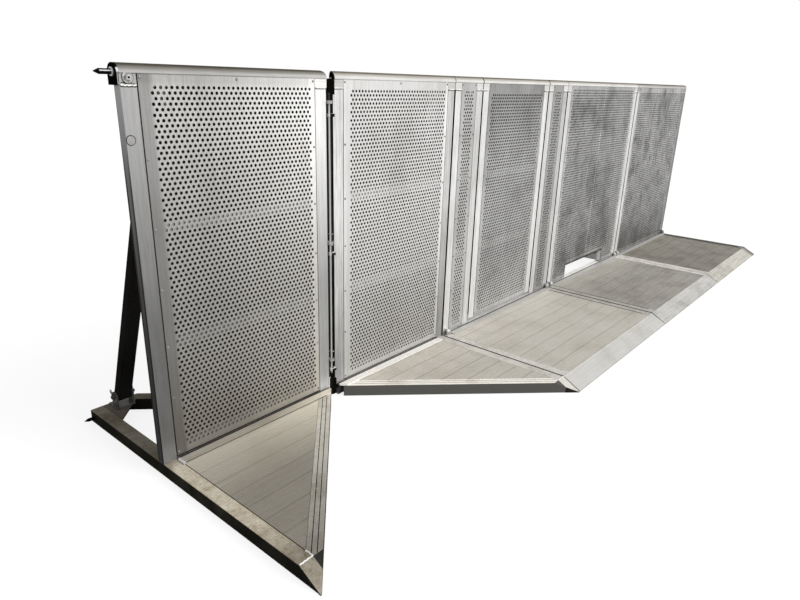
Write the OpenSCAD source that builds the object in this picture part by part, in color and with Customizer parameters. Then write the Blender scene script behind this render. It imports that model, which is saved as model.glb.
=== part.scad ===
// Folding safety barrier: a straight row of five free-standing bays.
// From the left: corner bay A, corner bay B, gate bay C, cable bay D and plain bay E.
// X runs along the row, +Y to the rear (the guarded side), Z is up, floor at z = 0.
// Every shape is drawn from the corner hinge: x = 0 on its rod, y = 0 on the sheets' front.

/* [Row] */
// Height of the top rail above the floor
row_h = 1200; // [1050:1:1350]
// Width of a corner bay, from the hinge rod to its outer face
corner_w = 712; // [640:1:900]
// Width of the gate bay
gate_bay_w = 1030; // [960:1:1300]
// Width of a standard bay
bay_w = 1000; // [850:1:1200]
// Gap between neighbouring bays
bay_gap = 5; // [5:0.5:12]

/* [Base] */
// Height of the base tubes
base_h = 45; // [38:1:60]
// Width of the base tubes
base_w = 45; // [38:1:60]
// Wall of the base tubes
base_wall = 3; // [2:0.5:5]
// Radius on the outer edges of the tubes and posts
edge_r = 2; // [1:0.5:3]
// Width of the grooves along the front diagonals
groove_w = 2.5; // [1.5:0.5:4]
// Depth of these grooves
groove_d = 1.5; // [0.5:0.5:2]
// Depth of the footplate in front of the sheets
plate_depth = 626; // [560:1:680]
// Length of the sloped front edge
ramp_len = 77; // [60:1:110]
// Length of the base behind the sheets
rear_len = 488; // [470:1:560]
// How far the foot tube reaches in front of the sheets
foot_front = 5; // [0:1:8]
// Thickness of the footplate skin and its webs
plate_skin = 3; // [2:0.5:4]
// Depth of the footplate planks
plank_h = 25; // [18:1:32]
// Number of planks in a footplate
plank_count = 8; // [3:1:10]
// Joint between two planks
plank_joint = 1.5; // [1:0.5:3]
// Width of a tread rib
rib_w = 3; // [2:0.5:5]
// Height of a tread rib
rib_h = 0.8; // [0.6:0.2:1.8]
// Pitch of the tread ribs
rib_pitch = 12; // [8:1:20]
// Thickness of the corner plates under the brace feet
corner_plate_t = 6; // [4:1:10]
// How far the corner plate reaches in front of the brace foot's pin
corner_plate_reach = 90; // [80:1:110]

/* [Panels] */
// Width of the posts
post_w = 46; // [38:1:56]
// Width of the two posts beside the corner hinge
hinge_post_w = 50; // [42:1:60]
// Depth of the posts
post_d = 30; // [26:1:36]
// Wall of the posts and rails
post_wall = 2.5; // [2:0.5:4]
// Wall of the two chamfered posts beside the corner hinge
hinge_post_wall = 4; // [4:0.5:6]
// Width of the flange that the sheets are riveted to
flange_w = 20; // [16:1:24]
// Thickness of that flange
flange_t = 3; // [2:0.5:4]
// Thickness of the perforated sheets
sheet_t = 3; // [2:0.5:4]
// Seam between a sheet and its posts
sheet_seam = 1.5; // [1:0.5:3]
// Plain border of a sheet round its openings
sheet_border = 33; // [28:1:45]
// Width of an opening in a sheet, in a grid that stands for the rows of small holes
mesh_w = 34; // [20:1:44]
// Height of an opening in a sheet
mesh_h = 42; // [24:1:56]
// Distance between the middles of two openings side by side
mesh_pitch_x = 70; // [60:1:90]
// Distance between the middles of two openings one above the other
mesh_pitch_z = 88; // [78:1:110]
// Height of the horizontal rails behind the sheets
rail_h = 30; // [24:1:40]
// Depth of the middle rails
mid_rail_d = 20; // [14:1:22]
// Height of the lower middle rail's centre
mid_low_z = 420; // [360:1:480]
// Height of the upper middle rail's centre
mid_high_z = 770; // [700:1:830]
// Height of the sheets' lower edge above the base
sheet_lift = 8; // [6:1:14]
// Play under the posts of the bays that fold
foot_play = 0.3; // [0.2:0.1:1]

/* [Top rail] */
// Radius of the half-round top of the rail
cap_r = 24; // [20:1:28]
// How far the cap stands in front of the sheets
cap_lip = 3; // [2:0.5:5]
// Height of the web below the cap
web_h = 30; // [24:1:40]
// Wall of the top rail
cap_wall = 3; // [2:0.5:5]
// Angle of the mitred rail ends beside the corner hinge
mitre_angle = 30; // [26:1:40]

/* [Gate and cable opening] */
// Width of the fixed part on each side of the gate
gate_side_w = 205; // [195:1:230]
// Gap around the gate leaf
gate_gap = 8; // [8:0.5:12]
// Height of the gate leaf's underside above the base
gate_lift = 24; // [22:1:40]
// Thickness of the threshold bar
sill_t = 10; // [8:1:14]
// Radius of the gate hinge pins
gate_pin_r = 6; // [5:0.5:8]
// Radial play of the gate hinge pins
gate_pin_play = 0.3; // [0.2:0.1:0.6]
// Height of the gate hinge sleeves
gate_sleeve_h = 50; // [36:1:70]
// Distance of the gate hinges from the middle rails
gate_hinge_off = 150; // [90:1:220]
// Clearance of the gate hinge pins behind the top rail
gate_pin_back = 2; // [1:0.5:6]
// How far the hinge brackets reach along the posts
gate_bracket_w = 20; // [14:1:26]
// Width of the cable opening
cable_w = 540; // [400:1:600]
// Height of the cable opening above the base
cable_h = 96; // [80:1:150]

/* [Corner hinge] */
// Radius of the hinge rod
rod_r = 6; // [5:0.5:7]
// Radial play of the rod in the swinging lugs
rod_play = 0.3; // [0.2:0.1:0.5]
// Distance from the rod to the posts beside it
hinge_reach = 14.5; // [14:0.5:18]
// Radius of the lug eyes
eye_r = 9.5; // [8.5:0.5:10]
// Thickness of the lugs
lug_t = 10; // [6:1:16]
// Spacing of the two lugs in a pair
lug_pair = 42; // [30:1:60]
// Height of the lowest lug pair above the base
lug_low = 95; // [80:1:130]
// Distance of the highest lug pair below the rail's web
lug_high = 65; // [56:1:90]
// Height of the two end blocks of the rod
rod_block = 65; // [50:1:70]
// How far the upper end block reaches below the rail's web
rod_block_low = 20; // [10:1:26]
// Chamfer on the rear corners of the hinge posts
hinge_chamfer = 5; // [4.5:0.5:8]
// Setback of the diagonals from the line on which the two corner bays meet
diagonal_setback = 3.5; // [3:0.5:6]

/* [Braces] */
// Width of the brace tubes
brace_w = 50; // [40:1:52]
// Depth of the brace tubes
brace_d = 30; // [24:1:34]
// Wall of the brace tubes
brace_wall = 3; // [2:0.5:4]
// Distance of a brace's centre from the end of its bay
brace_in = 98; // [97:1:104]
// Distance of the brace head pin behind the sheets
head_y = 30; // [28:1:36]
// Distance of the brace head pin below the rail's web
head_drop = 56; // [46:1:80]
// Distance of the brace foot pin behind the sheets
foot_y = 438; // [420:1:450]
// Height of the brace foot pin above the base
foot_rise = 45; // [40:1:55]
// Radius of the brace pins
brace_pin_r = 6; // [5:0.5:8]
// Radial play of the brace pins
brace_pin_play = 0.3; // [0.2:0.1:0.6]
// Length of the hook below the foot pin
brace_hook = 13; // [11:1:16]
// Lean of the hook's mouth, along which the foot leaves its pin
hook_lean = 8.5; // [0:0.5:12]
// Thickness of the brace lugs
brace_lug_t = 6; // [4:0.5:8]
// How far the foot lugs stand out past the brace
foot_lug_rim = 3; // [2:0.5:5]
// Length of the foot bracket's plate behind its lugs
foot_tail = 20; // [14:1:24]
// Play between a brace and its lugs
brace_side_play = 1; // [0.5:0.5:2]

/* [Fold hinges] */
// Distance of the fold axis in front of the sheets
fold_y = 15; // [13:1:20]
// Height of the fold axis above the base
fold_rise = 17; // [15:1:22]
// Radius of the fold pins
fold_pin_r = 4; // [3:0.5:5]
// Radial play of the fold pins
fold_pin_play = 0.25; // [0.2:0.05:0.4]
// Thickness of the fold ears
fold_ear_t = 8; // [6:1:12]
// Side play of the fold ears
fold_ear_play = 0.5; // [0.3:0.1:1]
// Width of the foot strip along a panel
strip_w = 34; // [30:1:40]
// Thickness of the foot strip
strip_t = 6; // [4:0.5:8]

/* [End pins] */
// Radius of the connecting pin at the left rail end
end_pin_r = 7; // [5:0.5:8]
// Length of its straight part
end_pin_len = 33; // [24:1:60]
// Length of its pointed tip
end_pin_tip = 13; // [8:1:20]
// Radius of the blunt points of the pin and the spigot
point_r = 1; // [0.5:0.5:3]
// Height of the pin above the rail's web
end_pin_rise = 2; // [1:0.5:4]
// Thickness of the rail end plates
end_plate_t = 6; // [4:1:10]
// Radial clearance of the socket at the right rail end
socket_play = 0.5; // [0.3:0.1:1]
// Depth of the socket past the tip of the pin
socket_spare = 2; // [1:0.5:6]
// Wall of the sleeve behind that socket
socket_wall = 3.5; // [2:0.5:4]
// Radius of the lower spigot
spigot_r = 6; // [4:0.5:8]
// Radius of the pins that couple the bays
coupler_r = 10; // [6:1:14]
// Length of the lower spigot
spigot_len = 34; // [25:1:60]

/* [Hidden] */
$fn = 32;
cut = 1;
seat = 0.3;
weld = 0.5;
web_z = row_h - cap_r;
post_top = web_z - web_h;
gate_x = corner_w + bay_gap;
cable_x = gate_x + gate_bay_w + bay_gap;
plain_x = cable_x + bay_w + bay_gap;
row_end = plain_x + bay_w;
leaf_x = gate_x + gate_side_w + gate_gap;
leaf_w = gate_bay_w - 2 * (gate_side_w + gate_gap);
leaf_z = base_h + gate_lift;
toe_y = -plate_depth - ramp_len;
plank_pitch = (plate_depth - foot_front) / plank_count;
sheet_z = base_h + sheet_lift;
head_z = post_top - head_drop;
foot_z = base_h + foot_rise;
brace_run = foot_y - head_y;
brace_fall = head_z - foot_z;
brace_len = norm([brace_run, brace_fall]);
brace_lean = atan2(brace_run, brace_fall);
fold_z = base_h + fold_rise;
cap_y = cap_r - cap_lip;
pin_z = web_z + end_pin_rise;
hang_x = leaf_x - gate_gap / 2;
hang_y = cap_y + cap_r + gate_pin_r + gate_pin_back;
fork_w = brace_w + 2 * brace_side_play;
row_left = -corner_w - end_plate_t - end_pin_len - end_pin_tip;
middle_x = (row_left + row_end) / 2;
middle_y = (rear_len + toe_y) / 2;
silver = "silver";
shade = "dimgray";
black = [0.12, 0.12, 0.12];
tread = "darkgray";

// ---- shared helpers ----

// Moves a shape from the hinge's axes to the row's own: the middle of its box, on the floor
module place() {
    translate([-middle_x, -middle_y, 0]) children();
}

// Stands a (y, z) outline up and runs it along X from x
module run_x(x, length) {
    translate([x, 0, 0]) rotate([90, 0, 90]) linear_extrude(length) children();
}

// Stands a (x, z) outline up and runs it along Y from y
module run_y(y, length) {
    translate([0, y + length, 0]) rotate([90, 0, 0]) linear_extrude(length) children();
}

// A box between two corners
module block(low, high) {
    translate(low) cube(high - low);
}

// The outline of a rectangle with round corners
module eased(corner, size, r) {
    translate(corner + [r, 0]) square(size - [2 * r, 0]);
    translate(corner + [0, r]) square(size - [0, 2 * r]);
    for (x = [r, size[0] - r])
        for (y = [r, size[1] - r])
            translate(corner + [x, y]) circle(r = r, $fn = 16);
}

// The outline of a square-edged hollow bar from a corner, its size and its wall
module hollow(corner, size, wall) {
    difference() {
        translate(corner) square(size);
        translate(corner + [wall, wall]) square(size - 2 * [wall, wall]);
    }
}

// The same for an extruded tube, whose outer corners are round
module tube(corner, size, wall) {
    difference() {
        eased(corner, size, edge_r);
        translate(corner + [wall, wall]) square(size - 2 * [wall, wall]);
    }
}

// A round bar along X between two places
module bar_x(x, length, y, z, r) {
    translate([x, y, z]) rotate([0, 90, 0]) cylinder(h = length, r = r);
}

// ---- base ----

// A hollow side tube of the base, from its rear end to y_front
module side_tube(x, y_front) {
    run_y(y_front, rear_len - y_front) tube([x, 0], [base_w, base_h], base_wall);
}

// The room in which a corner bay has to stay: behind the line on which the two meet
module corner_room(side) {
    far = 2 * corner_w;
    slack = diagonal_setback * sqrt(2);
    translate([0, 0, -cut]) linear_extrude(row_h + 2 * cut)
        polygon([[0, slack], [side * far, slack - far], [side * far, far], [0, far]]);
}

// The wedge that the sloped front edge leaves of whatever is under it
module ramp_room(x, length) {
    run_x(x, length) polygon([
        [toe_y, 0], [toe_y, plate_skin], [-plate_depth, base_h],
        [rear_len, base_h], [rear_len, 0]
    ]);
}

// The sloped plate that closes the front of a corner bay's tubes
module toe_skin(x, length) {
    run_x(x, length) polygon([
        [toe_y, 0], [toe_y, plate_skin], [-plate_depth, base_h],
        [-plate_depth, base_h - 2 * plate_skin], [toe_y + 2 * plate_skin, 0]
    ]);
}

// The side tube of a corner bay, cut to the ramp and to the diagonal, and closed there
module corner_side_tube(side) {
    inner = corner_w - base_w;
    x = side > 0 ? inner : -corner_w;
    slack = diagonal_setback * sqrt(2);
    wall = base_wall * sqrt(2);
    intersection() {
        union() {
            side_tube(x, toe_y);
            toe_skin(x, base_w);
            linear_extrude(base_h) mirror([side > 0 ? 0 : 1, 0]) polygon([
                [inner, slack - inner], [corner_w, slack - corner_w],
                [corner_w, slack + wall - corner_w], [inner, slack + wall - inner]
            ]);
        }
        ramp_room(x - cut, base_w + 2 * cut);
        corner_room(side);
    }
}

// The tube under a panel
module foot_tube(x, length) {
    run_x(x, length) tube([-foot_front, 0], [base_w, base_h], base_wall);
}

// Outline of the front diagonal: a base tube with two shallow grooves in its top
module grooved_tube(x) {
    difference() {
        tube([x, 0], [base_w, base_h], base_wall);
        for (share = [1, 2])
            translate([x + share * base_w / 3 - groove_w / 2, base_h - groove_d])
                square([groove_w, groove_d + cut]);
    }
}

// The tube along the meeting line of a corner bay, from the hinge to the toe
module front_diagonal(side) {
    start = 2 * eye_r;
    inner = corner_w - base_w;
    bevel = foot_front + hinge_reach + eye_r;
    intersection() {
        union() {
            rotate([0, 0, side > 0 ? -45 : -135]) translate([start, 0, 0])
                rotate([90, 0, 90]) linear_extrude(2 * corner_w)
                    grooved_tube(side > 0 ? diagonal_setback : -diagonal_setback - base_w);
            intersection() {
                toe_skin(side > 0 ? 0 : -inner, inner);
                corner_room(side);
            }
        }
        block([side > 0 ? 0 : -inner, toe_y, 0], [side > 0 ? inner : 0, -bevel, base_h]);
        ramp_room(side > 0 ? 0 : -inner, inner);
    }
}

// The tube from the foot tube to the rear corner, with the plate that carries the brace
module rear_diagonal(side) {
    inner = corner_w - base_w;
    front = base_w - foot_front;
    tail = corner_w - 2 * brace_in + base_w / 2;
    plate_front = foot_y - corner_plate_reach;
    lap = (inner - plate_front - tail - base_w * sqrt(2) + rear_len) / 2;
    mirror([side > 0 ? 0 : 1, 0, 0]) {
        intersection() {
            translate([tail, rear_len, 0]) rotate([0, 0, -135]) translate([-base_w, 0, 0])
                rotate([90, 0, 90]) linear_extrude(2 * rear_len)
                    tube([0, 0], [base_w, base_h], base_wall);
            block([0, front, 0], [inner, rear_len, base_h]);
        }
        translate([0, 0, base_h - corner_plate_t]) linear_extrude(corner_plate_t)
            polygon([
                [inner, rear_len], [tail, rear_len],
                [inner - lap - weld, plate_front + lap + weld], [inner, plate_front]
            ]);
    }
}

// Section of the footplate: plank skins with their webs and tread ribs
module plank_section(y_rear, count) {
    top = base_h - rib_h;
    width = plank_pitch - plank_joint;
    ribs = floor((width - rib_w) / rib_pitch);
    for (i = [1 : count]) {
        y = y_rear - i * plank_pitch + plank_joint / 2;
        translate([y, top - plate_skin]) square([width, plate_skin]);
        for (edge = [0, (width - plate_skin) / 2, width - plate_skin])
            translate([y + edge, top - plank_h]) square([plate_skin, plank_h]);
        for (k = [0 : ribs])
            translate([y + (width - ribs * rib_pitch - rib_w) / 2 + k * rib_pitch, top - weld])
                square([rib_w, rib_h + weld]);
    }
    translate([y_rear - count * plank_pitch, top - plank_h])
        square([count * plank_pitch, plate_skin]);
}

// Footplate of a rectangular bay, with its sloped front edge
module footplate(x, width) {
    run_x(x + base_w, width - 2 * base_w) plank_section(-foot_front, plank_count);
    run_x(x, width) polygon([
        [-plate_depth - seat, base_h - seat], [toe_y, plate_skin], [toe_y, 0],
        [toe_y + 2 * plate_skin, 0], [-plate_depth - plate_skin - seat, base_h - 3 * plate_skin],
        [-plate_depth - plate_skin - seat, 0], [-plate_depth - seat, 0]
    ]);
}

// Triangular footplate of a corner bay, whose rearmost plank is ripped to half its depth
module corner_footplate(side) {
    inner = corner_w - base_w;
    band = (diagonal_setback + base_w) * sqrt(2);
    intersection() {
        run_x(side > 0 ? 0 : -inner, inner)
            plank_section(plank_pitch / 2 - foot_front, plank_count + 1);
        translate([0, 0, -cut]) linear_extrude(base_h + 2 * cut) mirror([side > 0 ? 0 : 1, 0])
            polygon([
                [band + foot_front, -foot_front], [2 * inner, band - 2 * inner],
                [2 * inner, -foot_front]
            ]);
    }
}

// ---- fold hinges and foot strips ----

// X places of the fold ears of a bay
function fold_places(x, width) = [x + post_w / 2, x + width - post_w / 2];

// The flat strip along the foot of a panel
module foot_strip(x, length) {
    run_x(x, length) translate([-foot_front - strip_w, base_h]) square([strip_w, strip_t]);
}

// The strip of a folding bay, with the clevises and pins of its fold hinge
module fold_strip(x, width) {
    reach = fold_ear_t / 2 + fold_ear_play;
    foot_strip(x + base_w, width - 2 * base_w);
    for (at = fold_places(x, width)) {
        bar_x(at - reach - fold_ear_t, 2 * (reach + fold_ear_t), -fold_y, fold_z, fold_pin_r);
        for (side = [-reach - fold_ear_t, reach]) {
            bar_x(at + side, fold_ear_t, -fold_y, fold_z, 2 * fold_pin_r);
            block([at + side, -fold_y - 2 * fold_pin_r, base_h],
                  [at + side + fold_ear_t, -fold_y + 2 * fold_pin_r, fold_z]);
        }
    }
}

// One ear of a panel frame, reaching forward to the fold axis
module fold_ear(at) {
    difference() {
        union() {
            bar_x(at - fold_ear_t / 2, fold_ear_t, -fold_y, fold_z, 2 * fold_pin_r);
            block([at - fold_ear_t / 2, -fold_y, fold_z - fold_pin_r],
                  [at + fold_ear_t / 2, weld, fold_z + 3 * fold_pin_r]);
        }
        bar_x(at - fold_ear_t, 2 * fold_ear_t, -fold_y, fold_z, fold_pin_r + fold_pin_play);
    }
}

// ---- panels ----

// A post with its riveting flange on the right (side = 1) or on the left (side = -1)
module post(x, width, side, z_low, z_high, wall = post_wall) {
    flange_x = side > 0 ? x + width - weld : x - flange_w;
    translate([0, 0, z_low]) linear_extrude(z_high - z_low) {
        tube([x, 0], [width, post_d], wall);
        translate([flange_x, sheet_t]) square([flange_w + weld, flange_t]);
    }
}

// A horizontal rail behind a sheet
module cross_rail(x, length, z_low, depth) {
    run_x(x, length) hollow([sheet_t, z_low], [depth, rail_h], post_wall);
}

// The two middle rails and the bottom rail between the posts
module cross_rails(x, length) {
    cross_rail(x, length, mid_low_z - rail_h / 2, mid_rail_d);
    cross_rail(x, length, mid_high_z - rail_h / 2, mid_rail_d);
    cross_rail(x, length, sheet_z, post_d - sheet_t);
}

// A welded frame between two like posts
module frame(x, width, z_low) {
    post(x, post_w, 1, z_low, post_top);
    post(x + width - post_w, post_w, -1, z_low, post_top);
    cross_rails(x + post_w - weld, width - 2 * (post_w - weld));
}

// The frame of a corner bay, with its chamfered post beside the hinge
module corner_frame(side) {
    length = corner_w - hinge_reach - post_w - hinge_post_w;
    outer = side > 0 ? corner_w - post_w : -corner_w;
    inner = side > 0 ? hinge_reach : -hinge_reach - hinge_post_w;
    post(outer, post_w, -side, base_h, post_top);
    intersection() {
        post(inner, hinge_post_w, side, base_h, post_top, hinge_post_wall);
        hinge_post_room();
    }
    cross_rails(min(outer + post_w, inner + hinge_post_w) - weld, length + 2 * weld);
}

// Number of openings that fit in a length
function mesh_count(length, size, pitch) = floor((length - 2 * sheet_border - size) / pitch) + 1;

// A sheet riveted between two posts, with a plain grid of openings above z_mesh
module sheet(x, width, z_low, z_mesh) {
    left = x + sheet_seam;
    right = x + width - sheet_seam;
    top = web_z - seat;
    across = mesh_count(right - left, mesh_w, mesh_pitch_x);
    up = mesh_count(top - z_mesh, mesh_h, mesh_pitch_z);
    first_x = (left + right - (across - 1) * mesh_pitch_x - mesh_w) / 2;
    first_z = (z_mesh + top - (up - 1) * mesh_pitch_z - mesh_h) / 2;
    translate([0, sheet_t, 0]) rotate([90, 0, 0]) linear_extrude(sheet_t) difference() {
        translate([left, z_low]) square([right - left, top - z_low]);
        for (i = [0 : across - 1], k = [0 : up - 1])
            translate([first_x + i * mesh_pitch_x, first_z + k * mesh_pitch_z])
                square([mesh_w, mesh_h]);
    }
}

// ---- top rail ----

// Section of the top rail: half-round cap over a square web
module rail_section() {
    difference() {
        intersection() {
            translate([cap_y, web_z]) circle(r = cap_r, $fn = 64);
            translate([-cap_r, web_z]) square([4 * cap_r, cap_r]);
        }
        intersection() {
            translate([cap_y, web_z]) circle(r = cap_r - cap_wall, $fn = 64);
            translate([-cap_r, web_z + cap_wall]) square([4 * cap_r, cap_r]);
        }
    }
    hollow([sheet_t, post_top], [post_d - sheet_t, web_h + weld], post_wall);
}

// The plate that closes an end of the row's top rail
module rail_end_plate(x, thickness) {
    run_x(x, thickness) {
        intersection() {
            translate([cap_y, web_z]) circle(r = cap_r, $fn = 64);
            translate([-cap_r, web_z]) square([4 * cap_r, cap_r]);
        }
        translate([0, post_top]) square([cap_y + cap_r, web_h + weld]);
    }
}

// A length of top rail, with a cheek over each post and the forks for the brace heads
module top_rail(x, width, cheeks, forks) {
    run_x(x, width) rail_section();
    for (cheek = cheeks)
        block([cheek[0], 0, post_top], [cheek[0] + cheek[1], sheet_t + weld, web_z + weld]);
    for (at = forks) head_fork(at);
}

// The fork that holds the head of a brace under the rail
module head_fork(at) {
    for (side = [-fork_w / 2 - brace_lug_t, fork_w / 2])
        bar_x(at + side, brace_lug_t, head_y, head_z, brace_d / 2);
    for (side = [-fork_w / 2 - brace_lug_t, fork_w / 2])
        block([at + side, head_y - brace_d / 2, head_z],
              [at + side + brace_lug_t, head_y + brace_d / 2, post_top + weld]);
    bar_x(at - fork_w / 2 - brace_lug_t, fork_w + 2 * brace_lug_t, head_y, head_z, brace_pin_r);
    block([at - fork_w / 2 - brace_lug_t, sheet_t, post_top - post_wall],
          [at + fork_w / 2 + brace_lug_t, head_y + brace_d / 2, post_top + weld]);
}

// The mitre that clears a rail end beside the corner hinge
module mitre_cut(side) {
    far = 6 * cap_r;
    back = far * tan(mitre_angle);
    translate([0, 0, post_top - cut]) linear_extrude(web_h + cap_r + 2 * cut)
        mirror([side > 0 ? 0 : 1, 0])
            polygon([[hinge_reach, -far], [hinge_reach, 0], [hinge_reach + back, far],
                     [-far, far], [-far, -far]]);
}

// ---- braces ----

// A brace, with an eye round its head pin and a hook over its foot pin
module brace(at) {
    bore = brace_pin_r + brace_pin_play;
    translate([at, head_y, head_z]) rotate([brace_lean, 0, 0]) difference() {
        union() {
            translate([-brace_w / 2, -brace_d / 2, -brace_len - brace_hook])
                linear_extrude(brace_len + brace_hook)
                    tube([0, 0], [brace_w, brace_d], brace_wall);
            rotate([0, 90, 0]) translate([0, 0, -brace_w / 2])
                cylinder(h = brace_w, r = brace_d / 2);
        }
        rotate([0, 90, 0]) translate([0, 0, -brace_w])
            cylinder(h = 2 * brace_w, r = bore);
        translate([0, 0, -brace_len]) {
            rotate([0, 90, 0]) translate([0, 0, -brace_w])
                cylinder(h = 2 * brace_w, r = bore);
            rotate([hook_lean, 0, 0]) translate([-brace_w, -bore, -3 * brace_hook])
                cube([2 * brace_w, 2 * bore, 3 * brace_hook]);
        }
    }
}

// The bracket that holds the foot of a brace: base plate, two lugs and the cross pin
module brace_foot(at) {
    half = fork_w / 2;
    lug_r = brace_d / 2 + foot_lug_rim;
    block([at - half - brace_lug_t, foot_y - lug_r, base_h],
          [at + half + brace_lug_t, foot_y + brace_d + foot_tail, base_h + plate_skin]);
    for (side = [-half - brace_lug_t, half]) {
        bar_x(at + side, brace_lug_t, foot_y, foot_z, lug_r);
        block([at + side, foot_y - lug_r, base_h],
              [at + side + brace_lug_t, foot_y + lug_r, foot_z]);
    }
    bar_x(at - half - 2 * brace_lug_t, fork_w + 4 * brace_lug_t, foot_y, foot_z, brace_pin_r);
}

// ---- corner hinge ----

// Heights of the middle of each lug pair
function lug_heights() = [base_h + lug_low, row_h / 2, post_top - lug_high];

// An eye round the rod with a web to the post on one side
module rod_lug(side, z, height, bore) {
    x = side > 0 ? 0 : -hinge_reach;
    difference() {
        translate([0, 0, z]) {
            cylinder(h = height, r = eye_r);
            translate([x, -eye_r, 0]) cube([hinge_reach, 2 * eye_r, height]);
        }
        translate([0, 0, z - cut]) cylinder(h = height + 2 * cut, r = bore);
    }
}

// ---- bay A: the swinging corner bay ----

module a_side_tube() {
    color(shade) place() corner_side_tube(-1);
}

module a_foot_tube() {
    color(shade) place()
        foot_tube(-corner_w + base_w, corner_w - base_w - 2 * hinge_reach);
}

module a_diagonals() {
    color(shade) place() {
        front_diagonal(-1);
        rear_diagonal(-1);
    }
}

module a_footplate() {
    color(tread) place() corner_footplate(-1);
}

module a_foot_strip() {
    start = hinge_reach + eye_r;
    color(silver) place() intersection() {
        foot_strip(-corner_w + base_w, corner_w - base_w - start);
        corner_room(-1);
    }
}

// The chamfers on the rear corners beside the rod
module hinge_post_room() {
    difference() {
        translate([-2 * corner_w, -cut, 0]) cube([4 * corner_w, post_d + 2 * cut, row_h]);
        translate([0, post_d, -cut]) linear_extrude(row_h + 2 * cut)
            polygon([
                [-hinge_reach - hinge_chamfer, 0], [-hinge_reach, -hinge_chamfer],
                [hinge_reach, -hinge_chamfer], [hinge_reach + hinge_chamfer, 0],
                [hinge_reach, 2 * hinge_chamfer], [-hinge_reach, 2 * hinge_chamfer]
            ]);
    }
}

module a_frame() {
    color(silver) place() corner_frame(-1);
}

module a_sheet() {
    color(silver) place()
        sheet(-corner_w + post_w, corner_w - hinge_reach - post_w - hinge_post_w, sheet_z, sheet_z);
}

module a_top_rail() {
    color(silver) place() difference() {
        top_rail(-corner_w, corner_w,
                 [[-corner_w, post_w], [-hinge_reach - hinge_post_w, hinge_post_w]],
                 [-corner_w + brace_in]);
        mitre_cut(-1);
    }
}

module a_end_pins() {
    color(black) place() {
        rail_end_plate(-corner_w - end_plate_t, end_plate_t);
        translate([-corner_w - end_plate_t + weld, cap_y, pin_z]) rotate([0, -90, 0]) {
            cylinder(h = end_pin_len + weld, r = end_pin_r);
            translate([0, 0, end_pin_len + weld])
                cylinder(h = end_pin_tip, r1 = end_pin_r, r2 = point_r);
        }
        translate([-corner_w, rear_len - base_w / 2, base_h / 2]) rotate([0, -90, 0]) {
            cylinder(h = spigot_len - end_pin_tip, r = spigot_r);
            translate([0, 0, spigot_len - end_pin_tip])
                cylinder(h = end_pin_tip, r1 = spigot_r, r2 = point_r);
        }
    }
}

module a_brace() {
    color(shade) place() brace(-corner_w + brace_in);
}

module a_brace_foot() {
    color(shade) place() brace_foot(-corner_w + brace_in);
}

module a_hinge_lugs() {
    color(black) place() for (z = lug_heights())
        rod_lug(-1, z + lug_pair / 2 - lug_t / 2, lug_t, rod_r + rod_play);
}

// ---- bay B: the fixed corner bay, and the rod ----

module b_diagonals() {
    color(shade) place() {
        front_diagonal(1);
        rear_diagonal(1);
    }
}

module b_footplate() {
    color(tread) place() corner_footplate(1);
}

module b_frame() {
    color(silver) place() corner_frame(1);
}

module b_sheet() {
    color(silver) place()
        sheet(hinge_reach + hinge_post_w, corner_w - hinge_reach - post_w - hinge_post_w, sheet_z, sheet_z);
}

module b_top_rail() {
    color(silver) place() difference() {
        top_rail(0, corner_w, [[hinge_reach, hinge_post_w], [corner_w - post_w, post_w]],
                 [corner_w - brace_in]);
        mitre_cut(1);
    }
}

module b_brace() {
    color(shade) place() brace(corner_w - brace_in);
}

module hinge_rod() {
    color(black) place() {
        translate([0, 0, base_h / 3]) cylinder(h = web_z - base_h / 3, r = rod_r);
        for (z = lug_heights())
            rod_lug(1, z - lug_pair / 2 - lug_t / 2, lug_t, rod_r - weld);
        rod_lug(1, post_top - rod_block_low, web_z - post_top + rod_block_low, rod_r - weld);
        rod_lug(1, base_h / 3, rod_block, rod_r - weld);
    }
}

// ---- the base of bays B to E ----

module base_side_tubes() {
    color(shade) place() {
        corner_side_tube(1);
        for (bay = [[gate_x, gate_bay_w], [cable_x, bay_w], [plain_x, bay_w]]) {
            side_tube(bay[0], -plate_depth);
            side_tube(bay[0] + bay[1] - base_w, -plate_depth);
        }
    }
}

// The tubes along the row: one under each panel and one at the rear of each full bay
module base_cross_tubes() {
    color(shade) place() {
        foot_tube(2 * hinge_reach, corner_w - base_w - 2 * hinge_reach);
        for (bay = [[gate_x, gate_bay_w], [cable_x, bay_w], [plain_x, bay_w]]) {
            foot_tube(bay[0] + base_w, bay[1] - 2 * base_w);
            run_x(bay[0] + base_w, bay[1] - 2 * base_w)
                tube([rear_len - base_w, 0], [base_w, base_h], base_wall);
        }
    }
}

// The pins that couple the side tubes of neighbouring bays
module bay_couplers() {
    color(black) place()
        for (x = [gate_x, cable_x, plain_x])
            for (y = [rear_len - base_w / 2, -plate_depth / 2])
                bar_x(x - bay_gap, bay_gap, y, base_h / 2, coupler_r);
}

module brace_feet() {
    color(shade) place() {
        brace_foot(corner_w - brace_in);
        for (bay = [[gate_x, gate_bay_w], [cable_x, bay_w], [plain_x, bay_w]]) {
            brace_foot(bay[0] + brace_in);
            brace_foot(bay[0] + bay[1] - brace_in);
        }
    }
}

module foot_strips() {
    start = hinge_reach + eye_r;
    color(silver) place() {
        intersection() {
            foot_strip(start, corner_w - base_w - start);
            corner_room(1);
        }
        for (bay = [[gate_x, gate_bay_w], [cable_x, bay_w], [plain_x, bay_w]])
            fold_strip(bay[0], bay[1]);
    }
}

module c_footplate() {
    color(tread) place() footplate(gate_x, gate_bay_w);
}

module d_footplate() {
    color(tread) place() footplate(cable_x, bay_w);
}

module e_footplate() {
    color(tread) place() footplate(plain_x, bay_w);
}

// ---- bay C: the gate bay ----

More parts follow.
